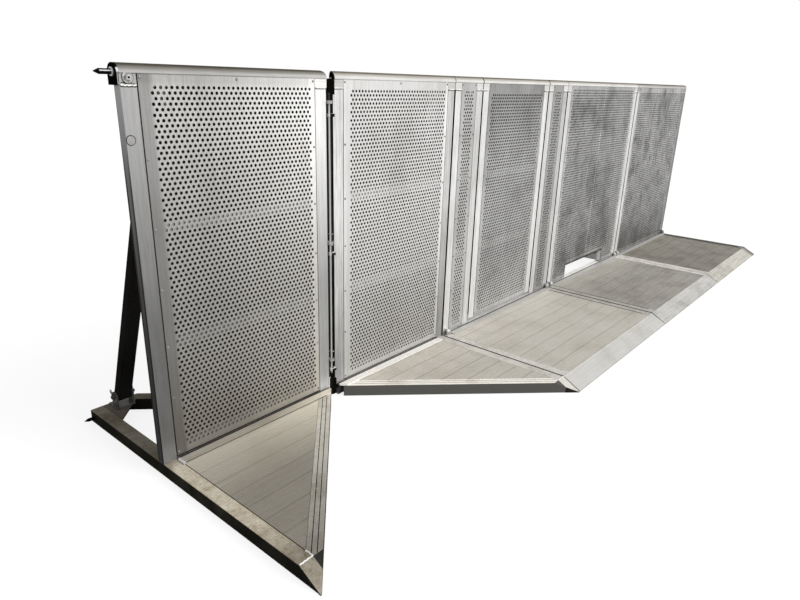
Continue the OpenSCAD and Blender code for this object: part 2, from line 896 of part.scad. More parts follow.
module c_frame() {
    inner = gate_side_w - 2 * post_w;
    color(silver) place() {
        for (side = [gate_x, gate_x + gate_bay_w - gate_side_w]) {
            post(side, post_w, 1, base_h + foot_play, post_top);
            post(side + gate_side_w - post_w, post_w, -1, base_h + foot_play, post_top);
            cross_rails(side + post_w - weld, inner + 2 * weld);
        }
        block([gate_x + gate_side_w - weld, sheet_t, base_h + foot_play],
              [gate_x + gate_bay_w - gate_side_w + weld, post_d, base_h + foot_play + sill_t]);
        for (at = fold_places(gate_x, gate_bay_w)) fold_ear(at);
        for (z = gate_hinge_heights()) gate_pintle(z);
    }
}

// Heights of the undersides of the gate hinge sleeves
function gate_hinge_heights() = [mid_low_z - gate_hinge_off, mid_high_z + gate_hinge_off];

// A fixed hinge pin of the gate, on the rear of the post
module gate_pintle(z) {
    translate([hang_x, hang_y, z - lug_t]) cylinder(h = gate_sleeve_h + 2 * lug_t, r = gate_pin_r);
    translate([hang_x, hang_y, z - lug_t]) cylinder(h = lug_t - seat, r = 2 * gate_pin_r);
    block([hang_x - 2 * gate_pin_r - gate_bracket_w, post_d - weld, z - lug_t],
          [hang_x, hang_y + gate_pin_r, z - seat]);
}

module c_side_sheets() {
    color(silver) place()
        for (side = [gate_x, gate_x + gate_bay_w - gate_side_w])
            sheet(side + post_w, gate_side_w - 2 * post_w, sheet_z, sheet_z);
}

module c_top_rails() {
    color(silver) place()
        for (side = [[gate_x, brace_in],
                     [gate_x + gate_bay_w - gate_side_w, gate_side_w - brace_in]])
            top_rail(side[0], gate_side_w,
                     [[side[0], post_w], [side[0] + gate_side_w - post_w, post_w]],
                     [side[0] + side[1]]);
}

module gate_frame() {
    color(silver) place() {
        post(leaf_x, post_w, 1, leaf_z, post_top);
        post(leaf_x + leaf_w - post_w, post_w, -1, leaf_z, post_top);
        for (rail = [[mid_low_z - rail_h / 2, mid_rail_d], [mid_high_z - rail_h / 2, mid_rail_d],
                     [leaf_z + sheet_seam, post_d - sheet_t]])
            cross_rail(leaf_x + post_w - weld, leaf_w - 2 * post_w + 2 * weld, rail[0], rail[1]);
        for (z = gate_hinge_heights()) difference() {
            union() {
                translate([hang_x, hang_y, z]) cylinder(h = gate_sleeve_h, r = 2 * gate_pin_r);
                block([hang_x, post_d - weld, z],
                      [hang_x + 2 * gate_pin_r + gate_bracket_w, hang_y + gate_pin_r, z + gate_sleeve_h]);
            }
            translate([hang_x, hang_y, z - cut])
                cylinder(h = gate_sleeve_h + 2 * cut, r = gate_pin_r + gate_pin_play);
        }
    }
}

module gate_sheet() {
    color(silver) place()
        sheet(leaf_x + post_w, leaf_w - 2 * post_w, leaf_z + sheet_seam, leaf_z);
}

module gate_top_rail() {
    color(silver) place()
        top_rail(leaf_x, leaf_w, [[leaf_x, post_w], [leaf_x + leaf_w - post_w, post_w]], []);
}

module c_brace_left() {
    color(shade) place() brace(gate_x + brace_in);
}

module c_brace_right() {
    color(shade) place() brace(gate_x + gate_bay_w - brace_in);
}

// ---- bay D: the cable bay ----

module d_frame() {
    side = (bay_w - cable_w) / 2;
    color(silver) place() {
        difference() {
            frame(cable_x, bay_w, base_h + foot_play);
            block([cable_x + side - rail_h + weld, -cut, base_h],
                  [cable_x + side + cable_w + rail_h - weld, post_d + cut,
                   base_h + cable_h + rail_h]);
        }
        for (x = [cable_x + side - rail_h, cable_x + side + cable_w])
            translate([0, 0, sheet_z - weld]) linear_extrude(cable_h + rail_h - sheet_lift + weld)
                hollow([x, sheet_t], [rail_h, post_d - sheet_t], post_wall);
        run_x(cable_x + side - weld, cable_w + 2 * weld)
            hollow([sheet_t, base_h + cable_h], [post_d - sheet_t, rail_h], post_wall);
        for (at = fold_places(cable_x, bay_w)) fold_ear(at);
    }
}

module d_sheet() {
    side = (bay_w - cable_w) / 2;
    color(silver) place() difference() {
        sheet(cable_x + post_w, bay_w - 2 * post_w, sheet_z, base_h + cable_h);
        block([cable_x + side, -cut, 0],
              [cable_x + side + cable_w, sheet_t + cut, base_h + cable_h]);
    }
}

module d_top_rail() {
    color(silver) place() top_rail(cable_x, bay_w,
        [[cable_x, post_w], [cable_x + bay_w - post_w, post_w]],
        [cable_x + brace_in, cable_x + bay_w - brace_in]);
}

module d_brace_left() {
    color(shade) place() brace(cable_x + brace_in);
}

module d_brace_right() {
    color(shade) place() brace(cable_x + bay_w - brace_in);
}

// ---- bay E: the plain bay ----

module e_frame() {
    color(silver) place() {
        frame(plain_x, bay_w, base_h + foot_play);
        for (at = fold_places(plain_x, bay_w)) fold_ear(at);
    }
}

module e_sheet() {
    color(silver) place() sheet(plain_x + post_w, bay_w - 2 * post_w, sheet_z, sheet_z);
}

module e_top_rail() {
    depth = end_pin_len + end_pin_tip + socket_spare;
    socket_r = end_pin_r + socket_play;
    color(silver) place() difference() {
        union() {
            top_rail(plain_x, bay_w - end_plate_t,
                [[plain_x, post_w], [plain_x + bay_w - post_w, post_w - end_plate_t]],
                [plain_x + brace_in, plain_x + bay_w - brace_in]);
            rail_end_plate(row_end - end_plate_t - weld, end_plate_t + weld);
            bar_x(row_end - depth, depth - cut, cap_y, pin_z, socket_r + socket_wall);
        }
        bar_x(row_end - depth - cut, depth + 2 * cut, cap_y, pin_z, socket_r);
    }
}

module e_brace_left() {
    color(shade) place() brace(plain_x + brace_in);
}

module e_brace_right() {
    color(shade) place() brace(plain_x + bay_w - brace_in);
}

a_side_tube();
a_foot_tube();
a_diagonals();
a_footplate();
a_foot_strip();
a_frame();
a_sheet();
a_top_rail();
a_end_pins();
a_brace();
a_brace_foot();
a_hinge_lugs();
b_diagonals();
b_footplate();
b_frame();
b_sheet();
b_top_rail();
b_brace();
hinge_rod();
base_side_tubes();
base_cross_tubes();
bay_couplers();
brace_feet();
c_footplate();
d_footplate();
e_footplate();
foot_strips();
c_frame();
c_side_sheets();
c_top_rails();
c_brace_left();
c_brace_right();
gate_frame();
gate_sheet();
gate_top_rail();
d_frame();
d_sheet();
d_top_rail();
d_brace_left();
d_brace_right();
e_frame();
e_sheet();
e_top_rail();
e_brace_left();
e_brace_right();
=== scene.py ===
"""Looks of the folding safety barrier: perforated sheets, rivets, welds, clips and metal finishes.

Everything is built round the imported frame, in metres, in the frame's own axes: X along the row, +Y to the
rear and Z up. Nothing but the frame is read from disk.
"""
import logging
import math
from dataclasses import dataclass, field, replace
from enum import Enum
from typing import Callable, Iterable, Optional, Sequence

import bmesh
import bpy
from mathutils import Matrix, Vector


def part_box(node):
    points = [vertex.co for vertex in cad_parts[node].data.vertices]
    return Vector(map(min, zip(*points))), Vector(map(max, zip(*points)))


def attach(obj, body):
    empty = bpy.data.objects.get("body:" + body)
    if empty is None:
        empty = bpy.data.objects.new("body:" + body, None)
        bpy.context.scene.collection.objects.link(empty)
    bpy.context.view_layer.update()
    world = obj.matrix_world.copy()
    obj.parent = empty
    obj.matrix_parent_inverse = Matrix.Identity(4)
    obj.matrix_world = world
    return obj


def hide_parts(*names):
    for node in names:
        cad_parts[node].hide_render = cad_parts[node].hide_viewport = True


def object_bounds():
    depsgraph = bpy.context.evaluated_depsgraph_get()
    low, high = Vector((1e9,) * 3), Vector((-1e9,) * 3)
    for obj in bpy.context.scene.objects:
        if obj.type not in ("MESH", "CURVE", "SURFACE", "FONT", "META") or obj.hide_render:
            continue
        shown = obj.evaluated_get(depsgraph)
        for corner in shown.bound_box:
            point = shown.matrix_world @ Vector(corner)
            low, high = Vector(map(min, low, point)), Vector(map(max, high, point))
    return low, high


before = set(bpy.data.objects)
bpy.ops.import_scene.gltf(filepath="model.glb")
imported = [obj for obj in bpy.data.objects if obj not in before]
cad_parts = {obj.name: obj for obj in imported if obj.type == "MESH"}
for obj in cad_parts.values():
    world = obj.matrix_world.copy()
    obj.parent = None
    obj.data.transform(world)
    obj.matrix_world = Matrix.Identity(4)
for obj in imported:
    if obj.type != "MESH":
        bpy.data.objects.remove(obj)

CAD_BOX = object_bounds()
MM = 0.001
BASE_TUBE_WIDTH = 45.0 * MM
RAMP_DEPTH = 77.0 * MM
CROWN_RADIUS = 24.0 * MM
SIDE_PANEL_WIDTH = 0.205
Point = tuple[float, float, float]
Tone = tuple[float, float, float]

logging.basicConfig(level=logging.INFO, format="%(levelname)s %(message)s")
log = logging.getLogger("barrier")


class Slot(Enum):
    """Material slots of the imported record."""

    FRAME = "frame"
    SHEET = "sheet"
    BASE_TUBE = "base_tube"
    TREAD = "tread"
    BRACE_TUBE = "brace_tube"
    BLACK_STEEL = "black_steel"


class Run(Enum):
    """Direction in which a piece was drawn or rolled, as the stretch of its streaks along X, Y and Z."""

    ALONG_X = (1.0, 46.0, 46.0)
    ALONG_Z = (46.0, 46.0, 1.0)
    ALL_WAYS = (12.0, 12.0, 12.0)


class Axis(Enum):
    """Number of each axis in a vector."""

    X = 0
    Y = 1
    Z = 2


# ---- node trees ----


class Bench:
    """A small workbench on which a node tree is put together."""

    def __init__(self, tree: bpy.types.NodeTree) -> None:
        """Starts on an empty tree.

        Args:
            tree: The tree that the nodes go into.
        """
        self.tree = tree
        self.tree.nodes.clear()

    def put(self, kind: str, inputs: Optional[dict] = None, **settings: object) -> bpy.types.Node:
        """Adds a node.

        Args:
            kind: Blender's name of the node type.
            inputs: Values or sockets for the node's inputs, by input name or number.
            **settings: Properties of the node.

        Returns:
            The new node.
        """
        node = self.tree.nodes.new(kind)
        for key, value in settings.items():
            setattr(node, key, value)
        for key, value in (inputs or {}).items():
            self.feed(node, key, value)
        return node

    def feed(self, node: bpy.types.Node, key: object, value: object) -> None:
        """Sets an input of a node, or wires a socket to it.

        Args:
            node: The node that is fed.
            key: Name or number of its input.
            value: A plain value, or the output socket to wire to it.
        """
        if isinstance(value, bpy.types.NodeSocket):
            self.tree.links.new(value, node.inputs[key])
        else:
            node.inputs[key].default_value = value

    def math(self, operation: str, *values: object) -> bpy.types.NodeSocket:
        """Adds a Math node.

        Args:
            operation: Blender's name of the operation.
            *values: Plain numbers or sockets, in order.

        Returns:
            The node's result.
        """
        node = self.put("ShaderNodeMath", operation=operation)
        for index, value in enumerate(values):
            self.feed(node, index, value)
        return node.outputs[0]

    def blend(self, share: object, low: object, high: object) -> bpy.types.NodeSocket:
        """Mixes two colours.

        Args:
            share: How much of the second colour shows, from 0 to 1.
            low: First colour, as a tone or a socket.
            high: Second colour, as a tone or a socket.

        Returns:
            The mixed colour.
        """
        node = self.put("ShaderNodeMix", data_type="RGBA", blend_type="MIX")
        self.feed(node, 0, share)
        for index, value in ((6, low), (7, high)):
            self.feed(node, index, (*value, 1.0) if isinstance(value, tuple) else value)
        return node.outputs[2]

    def tint(self, share: object, colour: bpy.types.NodeSocket, factor: Tone) -> bpy.types.NodeSocket:
        """Multiplies a colour by a factor on each channel.

        Args:
            share: How much of the factor acts, from 0 to 1.
            colour: The colour.
            factor: The factor.

        Returns:
            The changed colour.
        """
        node = self.put("ShaderNodeMix", data_type="RGBA", blend_type="MULTIPLY")
        self.feed(node, 0, share)
        self.feed(node, 6, colour)
        self.feed(node, 7, (*factor, 1.0))
        return node.outputs[2]

    def window(
        self, value: object, low: float, high: float, out: tuple[float, float] = (0.0, 1.0)
    ) -> bpy.types.NodeSocket:
        """Maps a range of a value to another range and clamps it.

        Args:
            value: The socket to map.
            low: Value that gives the first end.
            high: Value that gives the second end.
            out: The two ends of the result.

        Returns:
            The mapped value.
        """
        node = self.put("ShaderNodeMapRange", clamp=True)
        for index, number in enumerate((value, low, high, *out)):
            self.feed(node, index, number)
        return node.outputs[0]


class GeometryRecipe:
    """A Geometry Nodes tree with named inputs, and the way its result becomes a plain mesh."""

    def __init__(self, name: str, inputs: dict[str, str]) -> None:
        """Makes the tree with its inputs and its output.

        Args:
            name: Name of the tree.
            inputs: Socket type of each named input.
        """
        self.tree = bpy.data.node_groups.new(name, "GeometryNodeTree")
        self.bench = Bench(self.tree)
        face = self.tree.interface
        face.new_socket("Geometry", in_out="INPUT", socket_type="NodeSocketGeometry")
        for label, kind in inputs.items():
            face.new_socket(label, in_out="INPUT", socket_type=kind)
        face.new_socket("Geometry", in_out="OUTPUT", socket_type="NodeSocketGeometry")
        self.inlet = self.bench.put("NodeGroupInput").outputs
        self.outlet = self.bench.put("NodeGroupOutput")

    def close(self, geometry: bpy.types.NodeSocket, finish: bpy.types.NodeSocket) -> None:
        """Ends the tree in Realize Instances and Set Material.

        Args:
            geometry: What the tree has made.
            finish: The finish that it gets.
        """
        real = self.bench.put("GeometryNodeRealizeInstances", {"Geometry": geometry})
        last = self.bench.put("GeometryNodeSetMaterial", {"Geometry": real.outputs[0], "Material": finish})
        self.bench.feed(self.outlet, 0, last.outputs[0])

    def cook(self, name: str, base: bpy.types.Mesh, values: dict[str, object]) -> bpy.types.Object:
        """Runs the tree on a base mesh and keeps the result as a plain mesh.

        Args:
            name: Name of the finished piece.
            base: Mesh that the tree starts from.
            values: Values of the named inputs.

        Returns:
            The finished object, at the origin and without modifiers.
        """
        piece = bpy.data.objects.new(name, base)
        bpy.context.scene.collection.objects.link(piece)
        modifier = piece.modifiers.new("recipe", "NODES")
        modifier.node_group = self.tree
        for item in self.tree.interface.items_tree:
            if item.in_out == "INPUT" and item.name in values:
                modifier[item.identifier] = values[item.name]
        graph = bpy.context.evaluated_depsgraph_get()
        result = bpy.data.meshes.new_from_object(piece.evaluated_get(graph), depsgraph=graph)
        piece.modifiers.clear()
        piece.data = result
        result.name = name
        bpy.data.meshes.remove(base)
        return piece


def outline_mesh(loops: Iterable[Sequence[Point]], closed: bool) -> bpy.types.Mesh:
    """Makes a mesh of bare edges, with the number of its run stored on each point as "band".

    Args:
        loops: Each run of points.
        closed: True if each run ends where it starts.

    Returns:
        The mesh of edges.
    """
    bands: list[int] = []
    points: list[Point] = []
    edges: list[tuple[int, int]] = []
    for number, loop in enumerate(loops):
        first = len(points)
        points += list(loop)
        bands += [number] * len(loop)
        edges += [(first + i, first + i + 1) for i in range(len(loop) - 1)]
        if closed:
            edges.append((len(points) - 1, first))
    mesh = bpy.data.meshes.new("edges")
    mesh.from_pydata(points, edges, [])
    mesh.attributes.new("band", "INT", "POINT").data.foreach_set("value", bands)
    return mesh


def hand_laid(run: Sequence[Point], swing: float = 1.3 * MM, wave: float = 13.0 * MM) -> list[Point]:
    """Makes a straight path waver, as a weld laid by hand does.

    Args:
        run: Two or more points of the path.
        swing: How far it strays to each side.
        wave: Length of one waver.

    Returns:
        The wavering path, with the same ends.
    """
    path = []
    for start, end in zip(run, run[1:]):
        first, way = Vector(start), Vector(end) - Vector(start)
        aside = way.cross(Vector((0.0, 0.0, 1.0)) if abs(way.y) > abs(way.x) else Vector((0.0, 1.0, 0.0)))
        aside.normalize()
        steps = max(2, int(way.length / (0.2 * wave)))
        for k in range(steps + 1):
            along = way.length * k / steps
            bend = math.sin(2.0 * math.pi * along / wave) + 0.6 * math.sin(
                2.0 * math.pi * along / (0.43 * wave),
            )
            path.append(tuple(first + way * (k / steps) + aside * (0.6 * swing * bend)))
    return path


# ---- finishes ----


@dataclass(frozen=True)
class Shade:
    """A change of tone that sets in between two places on an axis, as a factor on the colour."""

    axis: Axis
    start: float
    full: float
    factor: Tone
    ragged: float = 0.0
    guard: Optional[tuple[Axis, float, float]] = None
    sides_only: bool = False


@dataclass(frozen=True)
class Facing:
    """A painted tone, dark for shade or pale for a highlight, on the faces that look one way, or that way
    and the opposite one.
    """

    tone: Tone
    way: Tone = (1.0, 0.0, 0.0)
    start: float = 0.35
    full: float = 0.60
    both: bool = True
    fade: Optional[tuple[Axis, float, float]] = None


@dataclass(frozen=True)
class Joints:
    """Dirt in the joints between the planks of a footplate, which follow each other along Y."""

    first: float
    pitch: float
    width: float = 4.5 * MM
    share: float = 0.4


@dataclass(frozen=True)
class MetalFinish:
    """A metal surface: its tones, the streaks of rolling or drawing, stains, wear and gloss, with light and
    shade painted on by facings and by some shades.
    """

    name: str
    tone: Tone
    light: Tone
    grime: Tone
    run: Run = Run.ALONG_Z
    streak: float = 0.5
    stain: float = 0.35
    stain_size: float = 5.0
    speck: float = 0.0
    speck_size: float = 60.0
    speck_run: Tone = (1.0, 1.0, 1.0)
    metallic: float = 0.35
    gloss: tuple[float, float] = (0.36, 0.55)
    shine: float = 0.5
    relief: float = 0.10
    facings: tuple[Facing, ...] = ()
    shades: tuple[Shade, ...] = ()
    joints: Optional[Joints] = None

    def material(self) -> bpy.types.Material:
        """Builds the finish, or finds it if it's there already.

        Returns:
            The material.
        """
        made = bpy.data.materials.get(self.name)
        if made:
            return made
        made = bpy.data.materials.new(self.name)
        made.use_nodes = True
        bench = Bench(made.node_tree)
        place = bench.put("ShaderNodeTexCoord")
        where = place.outputs["Object"]
        streaks = self._noise(bench, where, self.run.value, 4.0, 4.0, 0.62)
        hair = self._noise(bench, where, tuple(3.2 * v for v in self.run.value), 5.0, 2.0, 0.5)
        stains = self._noise(bench, where, (1.0, 1.0, 1.0), self.stain_size, 6.0, 0.6)
        marks = self._noise(bench, where, self.speck_run, self.speck_size, 3.0, 0.7)
        line = bench.math("ADD", bench.math("MULTIPLY", streaks, 0.65), bench.math("MULTIPLY", hair, 0.35))
        colour = bench.blend(bench.window(line, 0.36, 0.68, (0.0, self.streak)), self.tone, self.light)
        dull = bench.window(line, 0.52, 0.3, (0.0, 0.5 * self.streak))
        colour = bench.blend(dull, colour, self.grime)
        colour = bench.blend(bench.window(stains, 0.48, 0.72, (0.0, self.stain)), colour, self.grime)
        colour = bench.blend(bench.window(stains, 0.46, 0.26, (0.0, 0.6 * self.stain)), colour, self.light)
        if self.speck > 0.0:
            colour = bench.blend(bench.window(marks, 0.58, 0.74, (0.0, self.speck)), colour, self.grime)
            colour = bench.blend(bench.window(marks, 0.4, 0.26, (0.0, self.speck)), colour, self.light)
        split = bench.put("ShaderNodeSeparateXYZ", {0: where})
        for shade in self.shades:
            if not shade.sides_only:
                colour = bench.tint(self._share(bench, split, stains, shade), colour, shade.factor)
        # The facings paint shade and highlights by the way a face looks; the sides-only shades then act on
        # these painted faces.
        sides: object = 0.0
        for facing in self.facings:
            turn = bench.put("ShaderNodeVectorMath", operation="DOT_PRODUCT")
            bench.feed(turn, 0, place.outputs["Normal"])
            bench.feed(turn, 1, facing.way)
            toward = bench.math("ABSOLUTE", turn.outputs["Value"]) if facing.both else turn.outputs["Value"]
            share = bench.window(toward, facing.start, facing.full)
            if facing.fade:
                axis, first, last = facing.fade
                share = bench.math("MULTIPLY", share, bench.window(split.outputs[axis.value], first, last))
            patchy = bench.math("MULTIPLY", share, bench.window(stains, 0.25, 0.6, (0.93, 1.0)))
            colour = bench.blend(patchy, colour, facing.tone)
            sides = bench.math("MAXIMUM", sides, share)
        for shade in self.shades:
            if shade.sides_only:
                share = bench.math("MULTIPLY", self._share(bench, split, stains, shade), sides)
                colour = bench.tint(share, colour, shade.factor)
        if self.joints:
            along = bench.math("SUBTRACT", split.outputs[1], self.joints.first)
            away = bench.math("PINGPONG", along, 0.5 * self.joints.pitch)
            dirt = bench.window(away, self.joints.width, 0.2 * self.joints.width, (0.0, self.joints.share))
            dirt = bench.math("MULTIPLY", dirt, bench.window(marks, 0.25, 0.6, (0.55, 1.0)))
            colour = bench.blend(dirt, colour, DARK)
        rough = bench.window(
            bench.math("ADD", line, bench.math("MULTIPLY", stains, 0.6)), 0.55, 1.05, self.gloss,
        )
        height = bench.math("ADD", bench.math("MULTIPLY", hair, 0.6), bench.math("MULTIPLY", marks, 0.4))
        bump = bench.put(
            "ShaderNodeBump", {"Height": height, "Strength": self.relief, "Distance": 0.0006}
        )
        shader = bench.put(
            "ShaderNodeBsdfPrincipled",
            {
                "Base Color": colour,
                "Roughness": rough,
                "Metallic": self.metallic,
                "Specular IOR Level": self.shine,
                "Normal": bump.outputs[0],
            },
        )
        bench.put("ShaderNodeOutputMaterial", {"Surface": shader.outputs[0]})
        return made

    @staticmethod
    def _share(
        bench: Bench, split: bpy.types.Node, stains: bpy.types.NodeSocket, shade: Shade
    ) -> bpy.types.NodeSocket:
        """Finds how far a shade has set in.

        Args:
            bench: The workbench of the material.
            split: The place, split into its axes.
            stains: Noise that makes a shade's border ragged.
            shade: The shade.

        Returns:
            The share from 0 to 1.
        """
        level = split.outputs[shade.axis.value]
        if shade.ragged > 0.0:
            wave = bench.math("MULTIPLY", bench.math("SUBTRACT", stains, 0.5), shade.ragged)
            level = bench.math("ADD", level, wave)
        share = bench.window(level, shade.start, shade.full)
        if shade.guard:
            axis, first, last = shade.guard
            share = bench.math("MULTIPLY", share, bench.window(split.outputs[axis.value], first, last))
        return share

    @staticmethod
    def _noise(
        bench: Bench, where: bpy.types.NodeSocket, stretch: Tone, scale: float, detail: float, rough: float
    ) -> bpy.types.NodeSocket:
        """Adds a stretched noise.

        Args:
            bench: The workbench of the material.
            where: Object coordinates.
            stretch: Factor on each axis.
            scale: Size of the noise.
            detail: Number of finer layers.
            rough: Strength of the finer layers.

        Returns:
            The noise from 0 to 1.
        """
        turned = bench.put("ShaderNodeMapping", {"Vector": where, "Scale": stretch})
        noise = bench.put(
            "ShaderNodeTexNoise",
            {"Vector": turned.outputs[0], "Scale": scale, "Detail": detail, "Roughness": rough},
        )
        return noise.outputs[0]


DARK = (0.018, 0.017, 0.014)


def grey(level: float, warmth: float = 0.0) -> Tone:
    """A grey, warmer or cooler.

    Args:
        level: How light it is, as a linear value.
        warmth: Share by which red gains and blue loses.

    Returns:
        The tone.
    """
    return (level * (1.0 + 0.5 * warmth), level, level * (1.0 - warmth))


def metal(
    name: str, level: float, spread: float = 0.35, warmth: float = 0.02, **details: object,
) -> MetalFinish:
    """A finish whose light and dirty tones lie round its main one.

    Args:
        name: Name of the finish.
        level: How light the main tone is.
        spread: Share by which the light tone is lighter and the dirty one darker.
        warmth: How warm its grey is.
        **details: Other fields of the finish.

    Returns:
        The finish.
    """
    return MetalFinish(
        name, grey(level, warmth), grey(min(0.95, level * (1.0 + spread)), 0.5 * warmth),
        grey(max(0.05 * level, level * (1.0 - 1.3 * spread)), warmth + 0.05), **details,
    )


# Painted shade: the walls of the punched holes are coloured near black.
HOLE_WALL_SHADE = metal("hole_wall_shade", 0.02, run=Run.ALL_WAYS, metallic=0.0, shine=0.0)
# Dark dirt, and painted shade in the seams, gaps and under the welds where its lines are drawn.
DIRT_AND_SHADE = metal("dirt_and_painted_shade", 0.02, 0.5, 0.15, run=Run.ALL_WAYS, metallic=0.0, shine=0.0)
# Painted shade: bay A's brace is coloured near black all over, for its face in shade.
BRACE_IN_SHADE = metal(
    "brace_painted_shade", 0.018, 0.6, 0.12, streak=0.5, stain=0.4, metallic=0.0, shine=0.0, gloss=(0.5, 0.7),
)
BRACE_MILL = metal("brace_mill", 0.62, 0.3, stain=0.3)
BRACKET = metal(
    "bracket_grey", 0.09, 0.7, 0.06, run=Run.ALL_WAYS, stain=0.6, stain_size=22.0, speck=0.5, metallic=0.1,
    shine=0.1,
)
BLACK = metal(
    "black_coat", 0.006, 0.6, run=Run.ALL_WAYS, stain=0.4, metallic=0.0, shine=0.0, gloss=(0.4, 0.6),
)
BOLT = metal("bolt_dull", 0.42, 0.8, run=Run.ALL_WAYS, stain=0.9, stain_size=70.0, metallic=0.4)
LUG = metal("lug_steel", 0.34, 0.5, run=Run.ALL_WAYS, metallic=0.4)
WELD = metal("weld_bright", 0.78, 0.45, run=Run.ALL_WAYS, stain=0.6, stain_size=60.0, gloss=(0.28, 0.42))
FASTENER = metal("fastener_zinc", 0.50, 0.6, run=Run.ALL_WAYS, stain=0.4, stain_size=60.0, metallic=0.6)
PLUG = metal("plug_alu", 0.36, 0.4, run=Run.ALL_WAYS, stain=0.4, metallic=0.1, shine=0.1)
RIVET = metal("rivet_head", 0.22, 0.9, run=Run.ALL_WAYS, stain=0.8, stain_size=12.0, metallic=0.3)
# Painted shade: near black for faces in shade, a dark tone for the upright faces of tubes, and a facing
# that colours the faces looking along X near black.
SHADE_BLACK = (0.004, 0.004, 0.003)
FLANK_SHADE = (0.018, 0.017, 0.013)
SIDE_SHADE = Facing(SHADE_BLACK)


